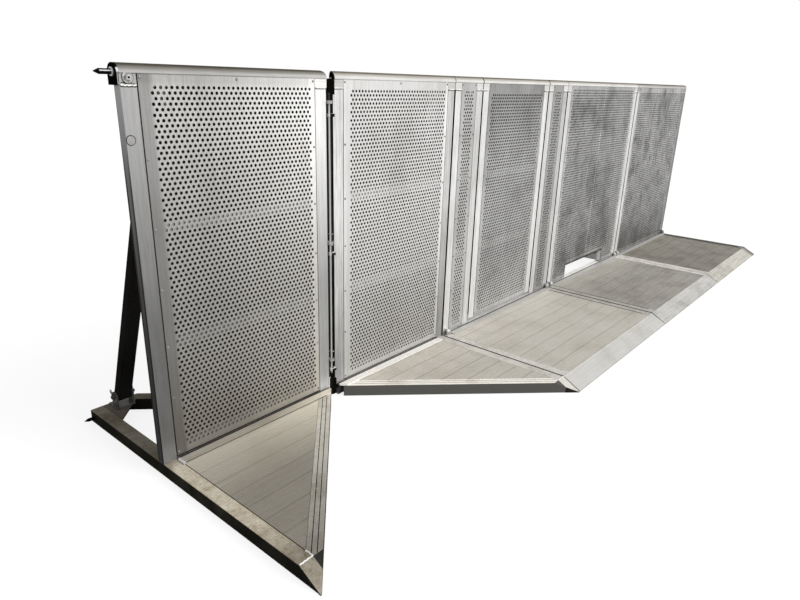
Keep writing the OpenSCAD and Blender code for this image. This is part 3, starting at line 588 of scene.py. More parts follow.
@dataclass
class Palette:
    """The finishes of the row's own pieces, whose shades are placed by the frame."""

    plank: float = 77.625 * MM

    def sheets(self) -> dict[str, MetalFinish]:
        """Returns the finish of each perforated sheet, by node."""
        a_low, a_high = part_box("a_sheet")
        b_low, b_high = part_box("b_sheet")
        d_low, d_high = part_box("d_sheet")
        d_mid = 0.5 * (d_low.x + d_high.x)
        seam = 5.0 * MM
        upright = (4.0, 4.0, 0.8)
        return {
            # Painted shade darkens it towards the bottom and a painted reflection lightens it towards the
            # hinge; darker at the left border and along the top, lighter at the right border.
            "a_sheet": metal(
                "sheet_worn_painted_light", 0.49, 0.32, 0.03, streak=0.5, stain=0.5, stain_size=3.2, speck=0.25, shades=(
                    Shade(Axis.Z, 1.05, 0.50, grey(0.56, 0.03), 0.30),
                    Shade(Axis.Z, 0.45, 0.10, grey(0.74, 0.08), 0.15),
                    Shade(Axis.X, a_low.x + 0.20, a_high.x - 0.05, grey(1.65), 0.20),
                    Shade(Axis.X, a_low.x + 0.042, a_low.x + 0.028, grey(0.60)),
                    Shade(Axis.Z, 1.145, 1.158, grey(0.84)),
                    Shade(Axis.X, a_high.x - 0.030, a_high.x - 0.022, grey(1.25)),
                ),
            ),
            # Darker towards the bottom, lighter at the left border, and a painted highlight along the right
            # border.
            "b_sheet": metal(
                "sheet_bright", 0.68, 0.30, 0.02, streak=0.5, stain=0.45, stain_size=3.2, speck=0.2,
                shades=(
                    Shade(Axis.Z, 0.75, 0.10, grey(0.66, 0.02), 0.30),
                    Shade(Axis.X, b_low.x + 0.02, b_low.x, grey(1.2)),
                    Shade(Axis.X, b_high.x - 0.016, b_high.x - 0.010, grey(1.3)),
                ),
            ),
            "gate_sheet": metal(
                "sheet_gate", 0.40, 0.45, 0.02, streak=0.6, stain=0.6, speck=0.4, speck_size=30.0,
                speck_run=upright, shades=(
                    Shade(Axis.Z, 0.80, 1.05, grey(0.70), 0.35),
                    Shade(Axis.Z, 0.35, 0.10, grey(1.25), 0.2),
                ),
            ),
            "c_side_sheets": metal(
                "sheet_strips", 0.47, 0.4, 0.02, streak=0.5, stain=0.4, speck=0.3,
                shades=(Shade(Axis.X, d_low.x - 0.6, d_low.x - 0.3, grey(0.68)),),
            ),
            "d_sheet": metal(
                "sheet_streaked", 0.315, 0.70, 0.02, streak=0.8, stain=0.7, speck=0.8, speck_size=24.0,
                speck_run=upright, shades=(
                    Shade(Axis.X, d_low.x + 0.05, d_low.x, grey(1.3)),
                    Shade(Axis.X, d_high.x - 0.06, d_high.x, grey(1.5)),
                    Shade(Axis.X, d_mid - seam, d_mid - 0.4 * seam, grey(2.0)),
                    Shade(Axis.X, d_mid + 0.4 * seam, d_mid + seam, grey(0.5)),
                ),
            ),
            "e_sheet": metal(
                "sheet_mottled", 0.25, 1.9, 0.03, streak=0.7, stain=0.6, stain_size=7.0, speck=1.0,
                speck_size=11.0, speck_run=(2.6, 2.6, 1.0),
                shades=(Shade(Axis.Z, 0.50, 0.10, grey(0.50), 0.2),),
            ),
        }

    def frames(self) -> dict[str, MetalFinish]:
        """Returns the finish of each panel's frame, by node."""
        a_low, a_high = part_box("a_frame")
        b_low, b_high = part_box("b_frame")
        b_mid = 0.5 * (b_low.x + b_high.x)
        c_low, c_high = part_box("c_frame")
        e_low, e_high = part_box("e_frame")
        e_mid = 0.5 * (e_low.x + e_high.x)
        dull = dict(streak=0.9, stain=0.25, shine=0.0)
        # Painted shade: drawn colours the sides near black above the foot.
        drawn = dict(facings=(replace(SIDE_SHADE, fade=(Axis.Z, 0.085, 0.100)),), **dull)
        lip = 3.2 * MM
        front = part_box("a_sheet")[0].y
        low_down = (Axis.Z, 1.00, 0.88)

        def edges(low: float, high: float, left: float = lip, right: float = lip) -> tuple[Shade, ...]:
            """Painted shade on the two outer edges of a frame, widening the dark gaps to its neighbours."""
            return (
                Shade(Axis.X, low + left, low + 0.7 * left, grey(0.03)),
                Shade(Axis.X, high - right, high - 0.7 * right, grey(0.03)),
            )

        gate_low, gate_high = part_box("gate_frame")
        d_low, d_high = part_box("d_frame")
        return {
            # Painted shade: the sides near black, the left face grey darkening downwards with darker bands
            # along its front and rear edges, and the hinge post's outer edge dark beside the gap; a painted
            # reflection lightens the hinge post. The front is darker towards the bottom and lighter at the
            # foot.
            "a_frame": metal(
                "post_a_painted_light", 0.39, 0.3, streak=0.6, stain=0.3, shine=0.0, facings=(
                    SIDE_SHADE,
                    Facing(grey(0.45), (-1.0, 0.0, 0.0), both=False, fade=(
                        Axis.X, a_low.x + 0.03, a_low.x + 0.02,
                    )),
                ), shades=(
                    Shade(Axis.Z, 1.13, 0.90, grey(0.42), sides_only=True),
                    Shade(Axis.Z, 0.90, 0.60, grey(0.35), sides_only=True),
                    Shade(Axis.Z, 0.60, 0.30, grey(0.40), sides_only=True),
                    Shade(Axis.Z, 1.05, 0.50, grey(0.42), 0.2),
                    Shade(Axis.Z, 0.12, 0.05, grey(1.5)),
                    Shade(
                        Axis.Y, front + 0.0205, front + 0.0230, grey(0.10), guard=low_down, sides_only=True,
                    ),
                    Shade(
                        Axis.Y, front + 0.0085, front + 0.0065, grey(0.35), guard=low_down, sides_only=True,
                    ),
                    Shade(Axis.X, a_high.x - 0.062, a_high.x - 0.052, grey(2.3)),
                    Shade(Axis.X, a_high.x - 0.0024, a_high.x - 0.0016, grey(0.03)),
                ),
            ),
            # Painted shade: SIDE_SHADE colours the posts' sides near black, and the edges are darkened
            # beside the gaps.
            "b_frame": metal("post_bright", 0.66, 0.5, shades=(
                Shade(Axis.Z, 0.70, 0.15, grey(0.55), 0.2),
                Shade(Axis.X, b_mid - 0.01, b_mid + 0.01, grey(0.85)),
                *edges(b_low.x, b_high.x, 1.8 * MM, 3.8 * MM),
            ), facings=(SIDE_SHADE,), **dull),
            "c_frame": metal("post_gate_bay", 0.74, 0.45, shades=(
                Shade(Axis.X, c_low.x + 0.10, c_low.x + 0.14, grey(0.88)),
                Shade(Axis.X, c_high.x - 0.14, c_high.x - 0.10, grey(0.85)),
                *edges(c_low.x, c_high.x, 3.8 * MM),
            ), **drawn),
            "gate_frame": metal("post_gate", 0.76, 0.5, shades=edges(gate_low.x, gate_high.x), **drawn),
            "d_frame": metal("post_d", 0.66, 0.5, shades=edges(d_low.x, d_high.x), facings=(
                replace(SIDE_SHADE, fade=(Axis.Z, 0.150, 0.170)),
            ), **dull),
            "e_frame": metal("post_e", 0.64, 0.5, shades=(
                Shade(Axis.X, e_mid - 0.01, e_mid + 0.01, grey(0.36)),
                *edges(e_low.x, e_high.x),
            ), **drawn),
        }

    def rails(self) -> dict[str, MetalFinish]:
        """Returns the finish of each top rail, by node, darker on its crown and in a band along its top
        edge, with the web below set per rail.
        """
        top = CAD_BOX[1][2]
        a_mid = 0.5 * (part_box("a_frame")[0].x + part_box("a_frame")[1].x)
        found = {}
        for node, level, crown, web in (
            ("a_top_rail", 0.46, 0.44, 1.0), ("b_top_rail", 0.78, 0.60, 0.85),
            ("c_top_rails", 0.78, 0.62, 1.0), ("gate_top_rail", 0.78, 0.62, 1.0),
            ("d_top_rail", 0.78, 0.62, 0.9), ("e_top_rail", 0.56, 0.62, 0.7),
        ):
            shades = [
                Shade(Axis.Z, top - 0.018, top - 0.011, grey(crown, 0.06)),
                Shade(Axis.Z, top - 0.0095, top - 0.0045, grey(0.34, 0.10)),
                Shade(Axis.Z, top - 0.0240, top - 0.0245, grey(web)),
            ]
            # Painted reflection: bay A's rail and its cheeks lighter towards the hinge post.
            if node == "a_top_rail":
                shades.append(Shade(Axis.X, a_mid, a_mid + 0.3, grey(1.25), 0.2))
                shades.append(Shade(
                    Axis.X, a_mid, a_mid + 0.2, grey(1.8), guard=(Axis.Z, top - 0.0240, top - 0.0245),
                ))
            if node == "b_top_rail":
                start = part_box(node)[0].x
                shades.append(Shade(Axis.X, start + 0.0085, start + 0.0075, grey(0.01)))
            found[node] = metal(
                f"rail_{node.replace('_top', '')}", level, 0.3, 0.04, run=Run.ALONG_X, streak=0.6,
                stain=0.35, metallic=0.0, shine=0.0, shades=tuple(shades),
            )
        return found

    def treads(self) -> dict[str, MetalFinish]:
        """Returns the finish of each footplate, by node."""
        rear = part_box("a_foot_tube")[0].y
        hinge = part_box("b_frame")[0].x
        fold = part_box("c_footplate")[0].y + RAMP_DEPTH
        row_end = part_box("e_footplate")[1].x
        found = {}
        # The levels are partly painted reflection, with the footplates of B and C lighter than the rest.
        for node, level, warmth, offset, share, fade, ramp, spread, streak in (
            ("a_footplate", 0.47, 0.18, 0.5, 0.15, 0.52, 1.0, 0.22, 0.45),
            ("b_footplate", 0.55, 0.13, 0.5, 0.25, 0.88, 1.0, 0.25, 0.5),
            ("c_footplate", 0.57, 0.12, 0.0, 0.15, 0.90, 0.95, 0.25, 0.5),
            ("d_footplate", 0.42, 0.13, 0.0, 0.12, 0.72, 1.40, 0.45, 0.8),
            ("e_footplate", 0.25, 0.20, 0.0, 0.12, 0.78, 2.15, 0.50, 0.9),
        ):
            shades = [
                Shade(Axis.Y, rear - 0.05, rear - 0.30, grey(fade), 0.1),
                # The ramp is lighter, with a painted highlight in a band along its fold edge.
                Shade(Axis.Y, fold + 0.0035, fold + 0.001, grey(1.2 * ramp, -0.06)),
                Shade(Axis.Y, fold - 0.003, fold - 0.006, grey(0.85)),
            ]
            if node == "e_footplate":
                shades.append(Shade(Axis.X, row_end - 0.10, row_end - 0.045, grey(0.35)))
            if node == "a_footplate":
                shades.append(Shade(Axis.X, hinge - 0.45, hinge - 0.10, grey(1.5), 0.15))
            found[node] = metal(
                f"tread_{node[0]}", level, spread, warmth, run=Run.ALONG_X, streak=streak, stain=0.5,
                stain_size=6.0, speck=0.25, metallic=0.2, gloss=(0.5, 0.7), shine=0.3, relief=0.05,
                # SIDE_SHADE paints the footplates' sides near black as painted shade.
                facings=(SIDE_SHADE,), shades=tuple(shades),
                joints=Joints(rear + offset * self.plank, self.plank, share=share),
            )
        return found

    def soil(self, node: str) -> MetalFinish:
        """Returns the finish of the dirt in a footplate's joints.

        Args:
            node: Name of the footplate.
        """
        tread = self.treads()[node]
        return metal(
            f"soil_{node[0]}", 0.55 * tread.tone[1], 0.4, 0.2, run=Run.ALL_WAYS, metallic=0.0, shine=0.1,
        )

    def strips(self) -> dict[str, MetalFinish]:
        """Returns the finish of the strips along the panels' feet, by node."""
        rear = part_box("a_foot_tube")[0].y
        hinge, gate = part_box("b_frame")[0].x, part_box("c_frame")[0].x
        # Painted shade in the crevice where the strip meets the panel's foot.
        crevice_shade = Shade(Axis.Y, rear - 0.0085, rear - 0.0060, grey(0.03))
        drawn = dict(run=Run.ALONG_X, streak=0.6, stain=0.4)
        return {
            "a_foot_strip": metal("strip_a", 0.38, 0.4, 0.18, shades=(
                Shade(Axis.X, hinge - 0.35, hinge - 0.05, grey(1.9), 0.1), crevice_shade,
            ), **drawn),
            "foot_strips": metal("strip_bright", 0.95, 0.12, 0.05, shades=(
                Shade(Axis.X, gate - 0.003, gate, grey(0.58)), crevice_shade,
            ), **drawn),
        }

    def base(self) -> dict[str, MetalFinish]:
        """Returns the finish of each base piece, by node."""
        scuffed = dict(
            run=Run.ALL_WAYS, streak=0.5, stain=0.7, stain_size=9.0, speck=0.5, metallic=0.05,
            gloss=(0.5, 0.7), shine=0.0,
        )
        front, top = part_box("a_sheet")[0].y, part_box("a_side_tube")[1].z
        d_start, e_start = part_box("d_footplate")[0].x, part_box("e_footplate")[0].x
        row_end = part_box("e_footplate")[1].x
        up = (0.0, 0.0, 1.0)
        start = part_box("a_side_tube")[0].x

        def flank(tone: Tone, fade: Optional[tuple[Axis, float, float]] = None) -> tuple[Facing, ...]:
            """Paints a tone on the upright faces of a tube: dark as painted shade, pale as painted light.
            """
            return (Facing(tone, up, 0.55, 0.20, True, fade),)

        groove = Shade(Axis.Z, top - 0.0003, top - 0.0008, grey(0.12))
        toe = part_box("c_footplate")[0].y + RAMP_DEPTH
        # Painted shade on the tube's upright faces, less dark on the rear part; rust-brown grime.
        tube = replace(
            metal("base_tube_worn_flank_shade", 0.19, 0.7, 0.25, facings=(
                *flank(FLANK_SHADE), *flank((0.045, 0.044, 0.038), (Axis.X, start + 0.08, start + 0.12)),
            ), shades=(
                Shade(Axis.X, start + 0.10, start + 0.16, grey(1.9)),
                Shade(Axis.Y, front + 0.01, front - 0.06, grey(2.4), 0.1),
                Shade(Axis.Y, toe + 0.20, toe + 0.03, grey(0.55), 0.15),
            ), **scuffed), grime=(0.075, 0.050, 0.030),
        )
        return {
            "a_side_tube": tube,
            "a_diagonals": metal("diagonal_a", 0.60, 0.35, 0.14, facings=flank(FLANK_SHADE), shades=(
                groove, Shade(Axis.Y, front - 0.02, front + 0.02, grey(0.22, 0.1)),
                Shade(Axis.Y, front - 0.10, toe + 0.05, grey(0.45), 0.1),
            ), **scuffed),
            # Painted shade on the upright faces of B's diagonals.
            "b_diagonals": metal("diagonal_b", 0.92, 0.3, 0.10, facings=flank(
                (0.15, 0.147, 0.135),
            ), shades=(
                groove, Shade(Axis.Y, front - 0.02, front + 0.02, grey(0.30, 0.1)),
            ), **scuffed),
            "a_foot_tube": metal("foot_tube_a", 0.34, 0.5, 0.12, facings=flank(FLANK_SHADE), **scuffed),
            # Painted shade on the upright faces of the cross tubes.
            "base_cross_tubes": metal(
                "cross_tubes", 0.90, 0.4, 0.05, facings=flank((0.10, 0.10, 0.095)), **scuffed,
            ),
            # Painted shade: the flanks near black in front of the panels; painted light: pale flanks behind
            # them.
            "base_side_tubes": metal("side_tubes_painted_flanks", 0.58, 0.35, 0.09, facings=(
                *flank(SHADE_BLACK, (Axis.Y, front + 0.03, front + 0.01)),
                *flank((0.85, 0.85, 0.83), (Axis.Y, front + 0.01, front + 0.03)),
            ), shades=(
                Shade(Axis.Y, front - 0.02, front + 0.02, grey(0.55, 0.1)),
                Shade(Axis.X, d_start - 0.06, d_start - 0.05, grey(0.78)),
                Shade(Axis.X, e_start - 0.06, e_start - 0.05, grey(1.5)),
                Shade(Axis.X, row_end - 0.10, row_end - 0.09, grey(0.22)),
            ), **scuffed),
            "a_brace_foot": BRACKET, "brace_feet": BRACKET,
            # Painted shade and highlight: the pins are black with a light stripe along the side that looks
            # forward and up.
            "a_end_pins": replace(BLACK, name="pin_shade_and_highlight", facings=(
                Facing(grey(0.75), (0.0, -0.95, 0.31), 0.962, 0.99, False, (Axis.Z, 1.150, 1.160)),
            )), "a_hinge_lugs": LUG, "bay_couplers": BLACK,
            # Painted light and shade: the rod near white as a painted highlight, and near black on the
            # faces that look front-right and rear-left. It is darker in bands near its top and black at its
            # foot.
            "hinge_rod": metal("rod_steel_painted_light", 0.95, 0.2, run=Run.ALL_WAYS, metallic=0.1, shine=0.0, facings=(
                Facing(
                    SHADE_BLACK, (0.60, -0.80, 0.0), 0.22, 0.42, False,
                ), Facing(SHADE_BLACK, (-0.60, 0.80, 0.0), 0.65, 0.85, False),
            ), shades=(
                Shade(Axis.Z, 1.100, 1.108, grey(0.10)), Shade(Axis.Z, 1.126, 1.134, grey(0.10)),
                Shade(Axis.Z, 0.112, 0.104, grey(0.02)),
            )),
            "a_brace": BRACE_IN_SHADE,
            **{node: BRACE_MILL for node in (
                "b_brace", "c_brace_left", "c_brace_right", "d_brace_left", "d_brace_right", "e_brace_left",
                "e_brace_right",
            )},
        }

    def dress(self) -> None:
        """Dresses every CAD node that stays."""
        for plan in (self.frames(), self.rails(), self.treads(), self.strips(), self.base()):
            for node, finish in plan.items():
                dress(node, finish)


# ---- small mesh work ----


def keep(piece: bpy.types.Object, body: str, replaces: Sequence[str] = ()) -> bpy.types.Object:
    """Hangs a finished piece on its body and hides the CAD nodes that it stands for.

    Args:
        piece: The finished object.
        body: CAD body that it rides on.
        replaces: CAD nodes that it stands for.

    Returns:
        The same object.
    """
    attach(piece, body)
    if replaces:
        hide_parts(*replaces)
    log.info("%s on %s: %d faces", piece.name, body, len(piece.data.polygons))
    return piece


def dress(node: str, finish: MetalFinish) -> None:
    """Gives a CAD node a finish.

    Args:
        node: Name of the node.
        finish: The finish.
    """
    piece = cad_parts[node]
    for entry in piece.material_slots:
        entry.material = finish.material()
    if not piece.material_slots:
        piece.data.materials.append(finish.material())
    log.info("%s dressed in %s", node, finish.name)


def solid(
    name: str, builds: Sequence[Callable[[bmesh.types.BMesh], None]], finish: MetalFinish,
) -> bpy.types.Object:
    """Makes one object from several build steps.

    Args:
        name: Name of the object.
        builds: Steps that each add a closed shape to the mesh.
        finish: Its finish.

    Returns:
        The object, at the origin.
    """
    sheet = bmesh.new()
    for build in builds:
        build(sheet)
    bmesh.ops.recalc_face_normals(sheet, faces=sheet.faces)
    mesh = bpy.data.meshes.new(name)
    sheet.to_mesh(mesh)
    sheet.free()
    mesh.materials.append(finish.material())
    mesh.set_sharp_from_angle(angle=math.radians(35.0))
    piece = bpy.data.objects.new(name, mesh)
    bpy.context.scene.collection.objects.link(piece)
    return piece


def turned(profile: Sequence[tuple[float, float]], at: Point, axis: Point, steps: int = 24):
    """A shape turned on a lathe.

    Args:
        profile: Pairs of distance along the axis and radius, from one end to the other.
        at: Where the axis starts.
        axis: Direction of the axis.
        steps: Number of facets round it.

    Returns:
        A build step for `solid`.
    """

    def build(sheet: bmesh.types.BMesh) -> None:
        """Adds the turned shape."""
        line = Vector(axis).normalized()
        across = line.orthogonal().normalized()
        other = line.cross(across)
        rings = []
        for along, radius in profile:
            middle = Vector(at) + line * along
            rings.append([
                sheet.verts.new(middle + radius * (math.cos(a) * across + math.sin(a) * other))
                for a in (2.0 * math.pi * k / steps for k in range(steps))
            ])
        for ring, following in zip(rings, rings[1:]):
            for k in range(steps):
                sheet.faces.new((ring[k], ring[(k + 1) % steps], following[(k + 1) % steps], following[k]))
        sheet.faces.new(rings[0])
        sheet.faces.new(rings[-1])

    return build


def plate(points: Sequence[Point], push: Point):
    """A flat plate of any outline.

    Args:
        points: Corners of one face, in order.
        push: Way from this face to the other.

    Returns:
        A build step for `solid`.
    """

    def build(sheet: bmesh.types.BMesh) -> None:
        """Adds the plate."""
        near = [sheet.verts.new(Vector(p)) for p in points]
        far = [sheet.verts.new(Vector(p) + Vector(push)) for p in points]
        sheet.faces.new(near)
        sheet.faces.new(list(reversed(far)))
        for k in range(len(near)):
            m = (k + 1) % len(near)
            sheet.faces.new((near[k], near[m], far[m], far[k]))

    return build


# ---- recipes of the repeated work ----


class PunchRecipe(GeometryRecipe):
    """Fills an outline with a plate and punches staggered rows of round holes through it."""

    def __init__(self) -> None:
        """Builds the tree."""
        super().__init__("punched_plate", {
            "Columns": "NodeSocketInt",
            "Rows": "NodeSocketInt",
            "Rows in a Band": "NodeSocketInt",
            "Pitch": "NodeSocketFloat",
            "Row Spacing": "NodeSocketFloat",
            "First Hole": "NodeSocketVector",
            "Hole Radius": "NodeSocketFloat",
            "Thickness": "NodeSocketFloat",
            "Notch Low": "NodeSocketVector",
            "Notch High": "NodeSocketVector",
            "Plate Finish": "NodeSocketMaterial",
            "Hole Finish": "NodeSocketMaterial",
        })
        b, of = self.bench, self.inlet
        columns, rows, pitch, step = of["Columns"], of["Rows"], of["Pitch"], of["Row Spacing"]
        wide = b.math("MULTIPLY", b.math("SUBTRACT", columns, 1.0), pitch)
        high = b.math("MULTIPLY", b.math("SUBTRACT", rows, 1.0), step)
        grid = b.put("GeometryNodeMeshGrid", {
            "Size X": wide, "Size Y": high, "Vertices X": columns, "Vertices Y": rows,
        })
        index = b.put("GeometryNodeInputIndex").outputs[0]
        row = b.math("MODULO", index, rows)
        odd = b.math("SUBTRACT", 1.0, b.math("MODULO", row, 2.0))
        middle = b.put(
            "ShaderNodeCombineXYZ", {0: b.math("DIVIDE", wide, 2.0), 1: b.math("DIVIDE", high, 2.0)},
        )
        corner = b.put("ShaderNodeVectorMath", {0: middle.outputs[0], 1: of["First Hole"]}, operation="ADD")
        shift = b.put("ShaderNodeCombineXYZ", {0: b.math("MULTIPLY", odd, b.math("DIVIDE", pitch, 2.0))})
        offset = b.put("ShaderNodeVectorMath", {0: corner.outputs[0], 1: shift.outputs[0]}, operation="ADD")
        placed = b.put(
            "GeometryNodeSetPosition", {"Geometry": grid.outputs[0], "Offset": offset.outputs[0]},
        )
        band = b.math("FLOOR", b.math("DIVIDE", b.math("ADD", row, 0.5), of["Rows in a Band"]))
        sorted_holes = b.put("GeometryNodeStoreNamedAttribute", {
            "Geometry": placed.outputs[0], "Name": "band", "Value": band,
        }, data_type="INT", domain="POINT")
        spot = b.put("ShaderNodeSeparateXYZ", {0: b.put("GeometryNodeInputPosition").outputs[0]})
        low = b.put("ShaderNodeSeparateXYZ", {0: of["Notch Low"]})
        top = b.put("ShaderNodeSeparateXYZ", {0: of["Notch High"]})
        inside = b.math(
            "MULTIPLY",
            b.math("MULTIPLY", b.math("GREATER_THAN", spot.outputs[0], low.outputs[0]),
                   b.math("LESS_THAN", spot.outputs[0], top.outputs[0])),
            b.math("LESS_THAN", spot.outputs[1], top.outputs[1]),
        )
        unwanted = b.math("GREATER_THAN", inside, 0.5)
        holes = b.put(
            "GeometryNodeDeleteGeometry", {"Geometry": sorted_holes.outputs[0], "Selection": unwanted},
        )
        ring = b.put("GeometryNodeCurvePrimitiveCircle", {"Resolution": 8, "Radius": of["Hole Radius"]})
        rings = b.put(
            "GeometryNodeInstanceOnPoints", {"Points": holes.outputs[0], "Instance": ring.outputs[0]},
        )
        curves = b.put("GeometryNodeRealizeInstances", {"Geometry": rings.outputs[0]})
        rim = b.put("GeometryNodeMeshToCurve", {"Mesh": of["Geometry"]})
        drawing = b.put("GeometryNodeJoinGeometry")
        self.tree.links.new(curves.outputs[0], drawing.inputs[0])
        self.tree.links.new(rim.outputs[0], drawing.inputs[0])
        group = b.put("GeometryNodeInputNamedAttribute", {"Name": "band"}, data_type="INT")
        bands = b.put("GeometryNodeFillCurve", {"Curve": drawing.outputs[0], "Group ID": group.outputs[0]})
        face = b.put("GeometryNodeMergeByDistance", {"Geometry": bands.outputs[0], "Distance": 0.00001})
        down = b.put("ShaderNodeCombineXYZ", {2: b.math("MULTIPLY", of["Thickness"], -1.0)})
        rear = b.put("GeometryNodeTransform", {"Geometry": face.outputs[0], "Translation": down.outputs[0]})
        up = b.put("GeometryNodeExtrudeMesh", {
            "Mesh": rear.outputs[0], "Offset": (0.0, 0.0, 1.0), "Offset Scale": of["Thickness"],
            "Individual": False,
        })
        back = b.put("GeometryNodeFlipFaces", {"Mesh": rear.outputs[0]})
        skin = b.put("GeometryNodeJoinGeometry")
        walls = b.put("GeometryNodeStoreNamedAttribute", {
            "Geometry": up.outputs["Mesh"], "Name": "wall", "Value": up.outputs["Side"],
        }, data_type="BOOLEAN", domain="FACE")
        self.tree.links.new(back.outputs[0], skin.inputs[0])
        self.tree.links.new(walls.outputs[0], skin.inputs[0])
        plain = b.put(
            "GeometryNodeSetMaterial", {"Geometry": skin.outputs[0], "Material": of["Plate Finish"]},
        )
        closed = b.put("GeometryNodeMergeByDistance", {"Geometry": plain.outputs[0], "Distance": 0.00001})
        real = b.put("GeometryNodeRealizeInstances", {"Geometry": closed.outputs[0]})
        wall = b.put("GeometryNodeInputNamedAttribute", {"Name": "wall"}, data_type="BOOLEAN")
        last_coat = b.put("GeometryNodeSetMaterial", {
            "Geometry": real.outputs[0], "Material": of["Hole Finish"], "Selection": wall.outputs[0],
        })
        b.feed(self.outlet, 0, last_coat.outputs[0])


class HeadRecipe(GeometryRecipe):
    """Puts a domed fastener head on every vertex of the base mesh, facing a stated way."""

    def __init__(self) -> None:
        """Builds the tree."""
        super().__init__("fastener_heads", {
            "Head Radius": "NodeSocketFloat",
            "Head Height": "NodeSocketFloat",
            "Facing": "NodeSocketVector",
            "Finish": "NodeSocketMaterial",
        })
        b, of = self.bench, self.inlet
        ball = b.put("GeometryNodeMeshUVSphere", {"Segments": 10, "Rings": 6, "Radius": of["Head Radius"]})
        flat = b.put("ShaderNodeCombineXYZ", {
            0: 1.0, 1: 1.0, 2: b.math("DIVIDE", of["Head Height"], of["Head Radius"]),
        })
        dome = b.put("GeometryNodeTransform", {"Geometry": ball.outputs[0], "Scale": flat.outputs[0]})
        turn = b.put("FunctionNodeAlignRotationToVector", {"Vector": of["Facing"]}, axis="Z")
        heads = b.put("GeometryNodeInstanceOnPoints", {
            "Points": of["Geometry"], "Instance": dome.outputs[0], "Rotation": turn.outputs[0],
        })
        soft = b.put("GeometryNodeSetShadeSmooth", {"Geometry": heads.outputs[0]})
        self.close(soft.outputs[0], of["Finish"])


class BeadRecipe(GeometryRecipe):
    """Lays a round bead along every edge run of the base mesh, rippled or smooth."""

    def __init__(self) -> None:
        """Builds the tree."""
        super().__init__("beads_and_wires", {
            "Bead Radius": "NodeSocketFloat",
            "Ripple Pitch": "NodeSocketFloat",
            "Ripple": "NodeSocketFloat",
            "Step": "NodeSocketFloat",
            "Finish": "NodeSocketMaterial",
        })
        b, of = self.bench, self.inlet
        path = b.put("GeometryNodeMeshToCurve", {"Mesh": of["Geometry"]})
        fine = b.put(
            "GeometryNodeResampleCurve", {"Curve": path.outputs[0], "Length": of["Step"]}, mode="LENGTH",
        )
        along = b.put("GeometryNodeSplineParameter").outputs["Length"]
        phase = b.math("MULTIPLY", b.math("DIVIDE", along, of["Ripple Pitch"]), 2.0 * math.pi)
        swell = b.math("ADD", 1.0, b.math("MULTIPLY", b.math("SINE", phase), of["Ripple"]))
        sized = b.put("GeometryNodeSetCurveRadius", {"Curve": fine.outputs[0], "Radius": swell})
        profile = b.put("GeometryNodeCurvePrimitiveCircle", {"Resolution": 7, "Radius": of["Bead Radius"]})
        bead = b.put("GeometryNodeCurveToMesh", {
            "Curve": sized.outputs[0], "Profile Curve": profile.outputs[0], "Scale": swell,
            "Fill Caps": True,
        })
        soft = b.put("GeometryNodeSetShadeSmooth", {"Geometry": bead.outputs[0]})
        self.close(soft.outputs[0], of["Finish"])


@dataclass
class Toolbox:
    """The recipes that all sub-assemblies share."""

    punch: PunchRecipe = field(default_factory=PunchRecipe)
    heads: HeadRecipe = field(default_factory=HeadRecipe)
    beads: BeadRecipe = field(default_factory=BeadRecipe)

    def rivets(
        self, name: str, places: Sequence[Point], facing: Point, radius: float = 4.2 * MM,
    ) -> bpy.types.Object:
        """Makes rows of rivet heads.

        Args:
            name: Name of the piece.
            places: Centre of each head.
            facing: Direction in which the heads stand out.
            radius: Radius of a head.

        Returns:
            The finished object.
        """
        base = bpy.data.meshes.new("places")
        base.from_pydata(list(places), [], [])
        return self.heads.cook(name, base, {
            "Head Radius": radius, "Head Height": 0.42 * radius, "Facing": facing,
            "Finish": RIVET.material(),
        })

    def weld(
        self, name: str, runs: Iterable[Sequence[Point]], radius: float = 2.4 * MM,
    ) -> bpy.types.Object:
        """Lays weld beads.

        Args:
            name: Name of the piece.
            runs: Path of each bead.
            radius: Radius of a bead.

        Returns:
            The finished object.
        """
        return self.beads.cook(name, outline_mesh(map(hand_laid, runs), False), {
            "Bead Radius": radius, "Ripple Pitch": 5.0 * MM, "Ripple": 0.22, "Step": 1.6 * MM,
            "Finish": WELD.material(),
        })

    def wire(
        self, name: str, runs: Iterable[Sequence[Point]], radius: float, finish: MetalFinish,
    ) -> bpy.types.Object:
        """Bends smooth wires.

        Args:
            name: Name of the piece.
            runs: Path of each wire.
            radius: Radius of the wire.
            finish: Its finish.

        Returns:
            The finished object.
        """
        return self.beads.cook(name, outline_mesh(runs, False), {
            "Bead Radius": radius, "Ripple Pitch": 1.0, "Ripple": 0.0, "Step": 3.0 * radius,
            "Finish": finish.material(),
        })


# ---- sub-assemblies ----


